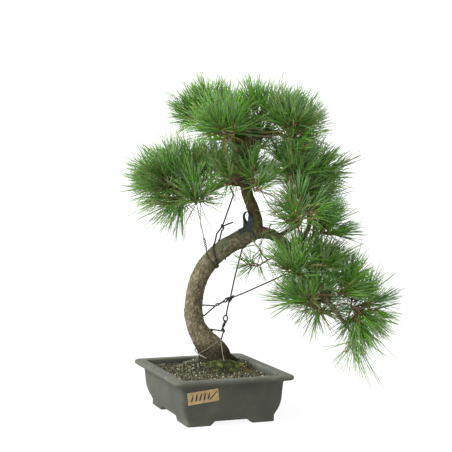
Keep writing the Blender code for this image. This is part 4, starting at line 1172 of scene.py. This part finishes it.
def make_moss(name, middle, long_half, short_half, turn, thickness, leaves, colours, slot):
    """A low ragged cushion of short pointed leaves, green and dark in patches."""
    rng = random.Random(SEED + len(name))
    shape = (name, middle, (long_half, short_half), Matrix.Rotation(math.radians(turn), 3, "Z"), thickness)
    tuft = Gatherer()
    around = 30
    tuft.loft([[moss_place(*shape, 1 - i / 8.4, math.tau * j / around) for j in range(around)]
               for i in range(9)], 0, (False, True))
    last = len(colours) - 1
    for _ in range(leaves):
        spot = moss_place(*shape, math.sqrt(rng.random()) * 1.12, rng.uniform(0, math.tau))
        patch = noise.noise(spot / (9 * MM) + Vector((5, 1, len(name)))) + rng.uniform(-0.25, 0.25)
        lean = Vector((rng.uniform(-0.8, 0.8), rng.uniform(-0.8, 0.8), 1)).normalized()
        side = lean.orthogonal().normalized()
        side.rotate(Matrix.Rotation(rng.uniform(0, math.tau), 3, lean))
        other = lean.cross(side)
        tall, wide = rng.uniform(1.6, 3.4) * MM, rng.uniform(0.4, 0.7) * MM
        corners = [spot + (side * math.cos(a) + other * math.sin(a)) * wide for a in (0, 2.1, 4.2)]
        tuft.add(corners + [spot + lean * tall], ((0, 1, 3), (1, 2, 3), (2, 0, 3)),
                 min(max(round((patch + 0.5) * last), 1), last))
    looks = plain_looks(name, colours, 0.85)
    place_piece(name + "_tuft", tuft.mesh(name, looks), [name])


# Foliage

NEEDLE_MATERIALS = 2 * len(TONES) + 2
SHEATH = 2 * len(TONES)
DRY = SHEATH + 1


class Needles:
    """Needles gathered shoot by shoot, and drawn as slim three-sided blades."""

    def __init__(self):
        self.rows = []
        self.hanging, self.longer = HANGING_SHARE, 1.0

    def tuft(self, rng, base, direction, length, pairs, spread, tone, sizes=NEEDLE_LENGTH,
             dry=DRY_SHARE):
        """Pairs of needles round a shoot, closer to its heading towards its tip."""
        share = np.sort(rng.random(pairs)) ** 0.75
        angle = np.radians(GOLDEN_ANGLE) * np.arange(pairs) + rng.uniform(-0.5, 0.5, pairs)
        tilt = spread[0] + (spread[1] - spread[0]) * share ** 0.9 + rng.normal(0, NEEDLE_JITTER, pairs)
        tilt = np.radians(np.clip(tilt, 3, 100))
        side = direction.orthogonal().normalized()
        lift = direction.cross(side)
        outward = np.outer(np.cos(angle), side) + np.outer(np.sin(angle), lift)
        ahead = np.array(direction)
        ways = ahead * np.cos(tilt)[:, None] + outward * np.sin(tilt)[:, None]
        starts = np.array(base) + ahead * (share * length * MM)[:, None] + outward * 0.8 * MM
        apart = np.cross(ways, rng.normal(size=(pairs, 3)))
        apart /= np.linalg.norm(apart, axis=1, keepdims=True)
        sizes = rng.uniform(*sizes, pairs) * np.where(rng.random(pairs) < STRAY_SHARE, STRAY_LENGTH, 1)
        mixed = np.where(rng.random(pairs) < MIXED_SHARE, rng.integers(0, len(TONES), pairs), tone)
        hanging = ways[:, 2] < min(direction.z, 0) - 0.25
        kept = ~hanging | (rng.random(pairs) < self.hanging)
        for sign in (-1, 1):
            half = math.tan(math.radians(PAIR_ANGLE / 2)) * sign * rng.uniform(0.4, 1.6, (pairs, 1))
            own = ways + apart * half
            own /= np.linalg.norm(own, axis=1, keepdims=True)
            bend = rng.normal(0, NEEDLE_BEND, (pairs, 3)) + np.array((0, 0, -0.025)) + ahead * 0.05
            lengths = sizes * rng.uniform(0.95, 1.03, pairs) * self.longer * MM
            tones = np.where(rng.random(pairs) < dry, -1, mixed)
            self.rows.append(np.column_stack([starts, own, bend, lengths, tones])[kept])

    def drawn(self, name, materials):
        rows = np.concatenate(self.rows)
        start, way, bend = rows[:, 0:3], rows[:, 3:6], rows[:, 6:9]
        length, tone = rows[:, 9], rows[:, 10].astype(int)
        length = length * allowed_share(start, way, bend, length)
        kept = length > NEEDLE_LEAST * rows[:, 9]
        start, way, bend, length, tone = start[kept], way[kept], bend[kept], length[kept], tone[kept]
        count = len(start)
        side = np.cross(way, np.where(np.abs(way[:, 2:]) < 0.9, (0.0, 0.0, 1.0), (0.0, 1.0, 0.0)))
        side /= np.linalg.norm(side, axis=1, keepdims=True)
        lift = np.cross(way, side)
        points = np.empty((count, 3 * len(NEEDLE_RINGS) + 1, 3))
        for i, (share, width) in enumerate(NEEDLE_RINGS):
            middle = needle_place(start, way, bend, length, share)
            for j in range(3):
                angle = math.tau * j / 3
                outward = side * math.cos(angle) + lift * math.sin(angle)
                points[:, 3 * i + j] = middle + outward * NEEDLE_WIDTH * width * MM
        points[:, -1] = needle_place(start, way, bend, length, 1.0)
        faces, bands = needle_faces()
        every = faces[None] + (np.arange(count) * points.shape[1])[:, None, None]
        tones = np.where(tone[:, None] < 0, DRY, 2 * tone[:, None] + (bands[None] > 1))
        slots = np.where(bands[None] == 0, SHEATH, tones)
        gathered = Gatherer()
        gathered.add(points, every, slots.ravel())
        return gathered.mesh(name, materials)


def needle_place(start, way, bend, length, share):
    """Places at a share of the way along needles that bend more and more."""
    along = np.reshape(length, (-1, 1)) * share
    return start + way * along + bend * along * share


def needle_faces():
    """The triangles of one needle, and which band along it each belongs to."""
    faces, bands = [], []
    last = len(NEEDLE_RINGS) - 1
    for i in range(last):
        for j in range(3):
            a, b = 3 * i + j, 3 * i + (j + 1) % 3
            faces += [(a, b, b + 3), (a, b + 3, a + 3)]
            bands += [i, i]
    for j in range(3):
        faces.append((3 * last + j, 3 * last + (j + 1) % 3, 3 * last + 3))
        bands.append(last)
    return np.array(faces), np.array(bands)


def allowed_share(start, way, bend, length):
    """How much of each needle stays in the plant's reach, off its limbs and off its pot."""
    low, high = (np.array(corner) - np.array(POT_CENTRE) for corner in CAD_BOX)
    low, high = low - BOX_ALLOWANCE * MM, high + BOX_ALLOWANCE * MM
    low[2] = 10 * MM
    shares = np.linspace(0.15, 1, 8)
    free = np.ones((len(start), len(shares)), bool)
    segments = as_arrays(FIXED[0])
    radii = np.array(FIXED[1])
    pot = np.array((POT_WIDTH / 2 + 4 * MM, POT_DEPTH / 2 + 4 * MM))
    for i, share in enumerate(shares):
        places = needle_place(start, way, bend, length, share)
        inside = ((places > low) & (places < high)).all(axis=1)
        in_pot = (np.abs(places[:, :2]) < pot).all(axis=1) & (places[:, 2] < SOIL_TOP + 4 * MM)
        near = np.concatenate([(distances(part, segments) - radii).min(axis=1)
                               for part in np.array_split(places, max(len(places) // 4000, 1))])
        free[:, i] = inside & ~in_pot & (near > 0.8 * MM)
    free = np.logical_and.accumulate(free, axis=1)
    reached = free.sum(axis=1)
    return np.where(reached > 0, shares[np.maximum(reached - 1, 0)], 0.0)


def side_shoots(skeleton, rng):
    """Finer shoots beside the planned ones: the twig of each, its end and its heading."""
    found = []
    for twig, (base, direction) in zip(skeleton.twigs, skeleton.shoots):
        path = [place for place, _ in smooth_path([(place, 1.0) for place in twig], 3)]
        for number in range(SIDE_SHOOTS):
            foot = path[-1 - rng.randint(1, max(len(path) // 2, 1))]
            turn = Matrix.Rotation(math.radians(360 / SIDE_SHOOTS * number + rng.uniform(-50, 50)), 3, direction)
            outward = turn @ direction.orthogonal().normalized()
            tilt = math.radians(rng.uniform(*SIDE_TILT))
            way = (direction * math.cos(tilt) + outward * math.sin(tilt)).normalized()
            end = foot + way * rng.uniform(8, 14) * MM
            facing = (way + direction * 0.5 + UP * 0.1).normalized()
            if is_clear([end, end + facing * SIDE_SHOOT[0] * MM], FIXED, []):
                found.append((bezier(foot, foot.lerp(end, 0.5) + direction * 2 * MM, end, 3), end, facing))
    return found


def add_twig(twigs, points, thick, thin, rng):
    """A knobbly twig that thins from one end to the other."""
    fine = smooth_path([(point, 1.0) for point in points], 3)
    last = len(fine) - 1
    path = []
    for i, (place, _) in enumerate(fine):
        path.append((place, (thick + (thin - thick) * i / last) * MM))
    twigs.tube(path, 6, 0, wobble=0.16, rng=rng)


def add_shoot(twigs, buds, base, direction, length, rng):
    """The rough young wood that needles grow on, and the bud at its tip."""
    path = []
    for i in range(6):
        share = i / 5
        sway = direction.orthogonal().normalized() * math.sin(share * 3) * 0.6 * MM
        path.append((base + direction * length * share * MM + sway, (1.7 - 0.5 * share) * MM))
    twigs.tube(path, 6, 1, wobble=0.18, rng=rng)
    tip = path[-1][0]
    for number in range(3):
        lean = direction if number == 0 else (direction + direction.orthogonal().normalized()
                                              * (0.45 if number == 1 else -0.45)).normalized()
        tall, wide = (7.5, 1.7) if number == 0 else (5.0, 1.2)
        bud = [(tip + lean * tall * share * MM, wide * size * MM)
               for share, size in ((-0.1, 0.7), (0.2, 1.0), (0.55, 0.85), (0.85, 0.45), (1.0, 0.08))]
        buds.tube(bud, 5, 0)


def make_foliage():
    skeletons = {}
    others = []
    for name in MASSES:
        skeletons[name] = grow_skeleton(name, FIXED, others)
        others += skeletons[name].cores() + skeletons[name].branches()
    groups = {}
    for name in MASSES:
        group = name.split("_")[0]
        groups.setdefault("cascade" if group == "inner" else group, []).append(name)
    looks = []
    for low, high in TONES:
        looks += [("needle_low", low), ("needle_high", high)]
    looks += [("sheath", (104, 84, 56)), ("dry_needle", (134, 106, 64))]
    looks = [Look(f"{name}_{i}", colour, 0.5, 0.1).material for i, (name, colour) in enumerate(looks)]
    twigs, buds = Gatherer(), Gatherer()
    for group, names in groups.items():
        needles = Needles()
        for name in names:
            rng = random.Random(f"side {SEED} {name}")
            many = np.random.default_rng([SEED, len(name), sum(map(ord, name))])
            skeleton = skeletons[name]
            full = SPARSE.get(name, 1.0)
            needles.hanging, needles.longer = HANGING.get(name, HANGING_SHARE), LENGTHS.get(name, 1.0)
            tones = range(len(TONES))
            spread = SPREADS.get(name, NEEDLE_SPREAD)
            for i, (twig, (base, direction)) in enumerate(zip(skeleton.twigs, skeleton.shoots)):
                thick = STEM_RADIUS if i == 0 else TWIG_RADIUS
                if i == 1:
                    full *= BESIDE.get(name, 1.0)
                add_twig(twigs, twig, thick, TWIG_RADIUS * 0.8, rng)
                tone = rng.choices(tones, TONE_WEIGHTS[group])[0]
                length, pairs = MAIN_SHOOT
                add_shoot(twigs, buds, base, direction, length, rng)
                needles.tuft(many, base, direction, length, round(pairs * full), spread, tone)
                back = (twig[-2] - twig[-1]).normalized()
                needles.tuft(many, base + back * 22 * MM, -back, 22, round(OLD_PAIRS * full), (80, 70),
                             rng.choices(tones, TONE_WEIGHTS[group])[0], (54, 72), 0.15)
            for twig, base, direction in side_shoots(skeleton, rng) if name not in ONLY_MAIN else ():
                add_twig(twigs, twig, 1.5, 1.3, rng)
                tone = rng.choices(tones, TONE_WEIGHTS[group])[0]
                length, pairs = SIDE_SHOOT
                add_shoot(twigs, buds, base, direction, length, rng)
                needles.tuft(many, base, direction, length, round(pairs * full), NEEDLE_SPREAD, tone)
        place_piece(f"needles_{group}", needles.drawn(group, looks), names)
    for rows in DEAD_WOOD:
        path = smooth_path([(tree_point(*row[:3]), row[3] * MM) for row in rows], 4)
        twigs.tube(path, 8, 0, wobble=0.2, rng=random.Random(SEED + len(rows)))
    twig_looks = [mottled("twig_bark", ((74, 60, 46), (108, 94, 72), (134, 122, 100)), 300, 0.88),
                  mottled("young_wood", ((88, 74, 48), (126, 108, 70), (104, 98, 56)), 380, 0.8)]
    place_piece("twigs", twigs.mesh("twigs", twig_looks))
    bud_look = mottled("bud_scales", ((126, 98, 68), (168, 146, 112), (196, 182, 154)), 500, 0.75)
    place_piece("buds", buds.mesh("buds", [bud_look]))


# Wires, strap and label


def strand_points(items):
    """The points of one strand, from places, turns round limbs and twists."""
    radius = items[0]
    points = []
    for item in items[1:]:
        if isinstance(item[0], str):
            limb, low, high, start, end, lift = item
            steps = max(abs(end - start) // 9, 1)
            points += round_limb(limb, (low, high), start, end, lift, steps, radius)
        elif len(item) == 3:
            points.append(tree_point(*item))
        else:
            turns, off, start, place = item
            begin, end = points[-1], tree_point(*place)
            side = (end - begin).orthogonal().normalized()
            lift = (end - begin).normalized().cross(side)
            for i in range(1, 10 * turns + 1):
                angle = math.radians(start + 36 * i)
                way = side * math.cos(angle) + lift * math.sin(angle)
                points.append(begin.lerp(end, i / (10 * turns)) + way * off * MM)
    return points


def draw_strand(wire, items):
    points = [(point, 1.0) for point in strand_points(items)]
    rounded = [place for place, _ in smooth_path(points, 3)] if len(points) < 12 else [p for p, _ in points]
    wire.tube([(point, items[0] * MM) for point in evenly(rounded, 2.5 * MM)], 7, 0)


def make_wires():
    dark = mottled("wire", ((26, 26, 25), (40, 40, 38), (58, 56, 50)), 240, 0.6, specular=0.2)
    for name, strands in DARK_STRANDS.items():
        wire = Gatherer()
        for items in strands:
            draw_strand(wire, items)
        place_piece(name + "_drawn", wire.mesh(name, [dark]), [name])
    pale = mottled("binding_wire", ((84, 81, 69), (110, 107, 93), (132, 128, 112)), 240, 0.6)
    wire = Gatherer()
    for items in PALE_STRANDS:
        draw_strand(wire, items)
    place_piece("binding_wires", wire.mesh("binding_wires", [pale]))


def make_strap():
    """A rubber ribbon in a loop, with the pad under it and the band round the fork."""
    rubber = mottled("rubber", ((34, 40, 38), (44, 52, 48), (58, 66, 60)), 130, 0.62, specular=0.3)
    strap = Gatherer()
    middles = smooth_path([(tree_point(*place), size * MM) for place, _, size in STRAP_LOOP], 4)
    ways = smooth_path([(tree_direction(*way, 0), 1.0) for _, way, _ in STRAP_LOOP], 4)
    rings = []
    for (place, size, tangent, _, _), (way, _) in zip(frames_along(middles), ways):
        way = (way - tangent * way.dot(tangent)).normalized()
        across, through = way * size / 2, way.cross(tangent) * STRAP_THICK / 2 * MM
        rings.append([place - across - through, place + across - through,
                      place + across + through, place - across + through])
    strap.loft(rings, 0)
    for low, high, start, end, thick in STRAP_PATCHES:
        rows = 6
        sheets = [[round_limb("trunk", (low + (high - low) * i / rows,) * 2, start, end, lift, 24, 0)
                   for i in range(rows + 1)] for lift in (-1.5, thick)]
        strap.loft([[inner[j] for inner in sheets[0]] + [outer[j] for outer in reversed(sheets[1])]
                    for j in range(25)], 0)
    place_piece("rubber_strap", strap.mesh("rubber_strap", [rubber], smooth=False), ["strap"])


def label_places():
    """A way from places on the label, in metres, and a lift off it to points."""
    turn = (Matrix.Rotation(math.atan2(1.6, 18), 3, "X")
            @ Matrix.Rotation(math.radians(-LABEL_TILT), 3, "Y"))
    middle = Vector((LABEL_X, -POT_DEPTH / 2 + body_inset(LABEL_Z / MM) * MM - 0.8 * MM, LABEL_Z))

    def place(x, z, lift):
        wave = noise.noise(Vector((x, 0, z)) / (14 * MM)) * 0.25 * MM
        return middle + turn @ Vector((x, wave - lift, z))

    return place


def make_label():
    paper = mottled("brown_paper", ((138, 114, 80), (156, 132, 94), (170, 146, 108)), 90, 0.85)
    ink = mottled("ink", ((22, 21, 20), (34, 32, 30)), 400, 0.7)
    across, tall = 25, 11
    place = label_places()
    label = Gatherer()
    rings = []
    for i in range(across):
        x = (i / (across - 1) - 0.5) * LABEL_SIZE[0]
        heights = [(j / (tall - 1) - 0.5) * LABEL_SIZE[1] for j in range(tall)]
        rings.append([place(x, z, 0.1 * MM) for z in heights]
                     + [place(x, z, -0.1 * MM) for z in reversed(heights)])
    label.loft(rings, 0)
    for spot, lean, half in LABEL_STROKES:
        rings = []
        for i in range(9):
            share = i / 8
            x, z = spot + lean * (2 * share - 1), half * (2 * share - 1)
            wide = 1.0 + 0.5 * math.sin(math.pi * min(share * 1.3, 1)) + 0.15 * math.sin(9 * share + spot)
            rings.append([place((x + side * wide) * MM, z * MM, lift * MM)
                          for side, lift in ((-1, 0), (1, 0), (1, 0.3), (-1, 0.3))])
        label.loft(rings, 1)
    place_piece("paper_label", label.mesh("paper_label", [paper, ink], smooth=False), ["label"])


def make_tag():
    """A blank plastic tag that hangs among the needles."""
    place, size, tilt = TAG
    bm = bmesh.new()
    bmesh.ops.create_cube(bm, size=1)
    shape = (Matrix.Translation(tree_point(*place)) @ Matrix.Rotation(math.radians(TREE_TURN), 4, "Z")
             @ Matrix.Rotation(math.radians(-14), 4, "X") @ Matrix.Rotation(math.radians(tilt), 4, "Y")
             @ Matrix.Diagonal((size[0] * MM, size[2] * MM, size[1] * MM, 1)))
    bmesh.ops.transform(bm, matrix=shape, verts=bm.verts)
    bmesh.ops.bevel(bm, geom=bm.edges[:], offset=0.25 * MM, segments=2, affect="EDGES")
    mesh = mesh_of(bm, "tag")
    mesh.materials.append(mottled("tag_plastic", ((176, 178, 166), (196, 198, 188), (208, 210, 200)), 150, 0.5))
    place_piece("blank_tag", mesh)


# Stage


def make_stage():
    floor = bpy.data.meshes.new("floor")
    reach = 8
    floor.from_pydata([(-reach, -reach, 0), (reach, -reach, 0), (reach, reach, 0), (-reach, reach, 0)],
                      [], [(0, 1, 2, 3)])
    look = Look("floor", FLOOR_COLOUR, 0.9, 0.1)
    look.shader.inputs["Emission Color"].default_value = (1, 1, 1, 1)
    look.shader.inputs["Emission Strength"].default_value = FLOOR_GLOW
    floor.materials.append(look.material)
    helper("floor", floor)
    world = bpy.data.worlds.new("sky")
    world.use_nodes = True
    sky = world.node_tree.nodes["Background"]
    sky.inputs["Color"].default_value = (1, 1, 1, 1)
    sky.inputs["Strength"].default_value = SKY_STRENGTH
    bpy.context.scene.world = world
    key = bpy.data.lights.new("key", "SUN")
    key.energy = KEY_STRENGTH
    key.angle = math.radians(KEY_ANGLE)
    lamp = helper("key", key)
    lamp.rotation_euler = Vector(KEY_FROM).to_track_quat("Z", "Y").to_euler()
    camera = bpy.data.cameras.new("camera")
    camera.lens = CAMERA_LENS
    eye = helper("camera", camera)
    eye.location = POT_CENTRE + Vector(CAMERA_FROM_POT)
    eye.rotation_euler = (math.radians(90 - CAMERA_DIP), 0, math.radians(CAMERA_TURN))
    bpy.context.scene.camera = eye
    bpy.context.scene.view_settings.view_transform = "Standard"


ROWS, LIMBS = plan_limbs()
FINE_LIMBS = {name: smooth_path(rows, FINE_STEPS) for name, rows in ROWS.items()}
FIXED = fixed_segments(list(wire_routes().values()))
STRAIGHTENED = Straightened()

make_stage()
make_pot()
make_soil()
make_grains()
make_moss("moss_green", *MOSS_PADS["moss_green"], MOSS_GREENS, "moss_green")
make_moss("moss_orange", *MOSS_PADS["moss_orange"], MOSS_ORANGES, "moss_orange")
make_bark()
make_foliage()
make_wires()
make_strap()
make_label()
make_tag()

bpy.context.view_layer.update()
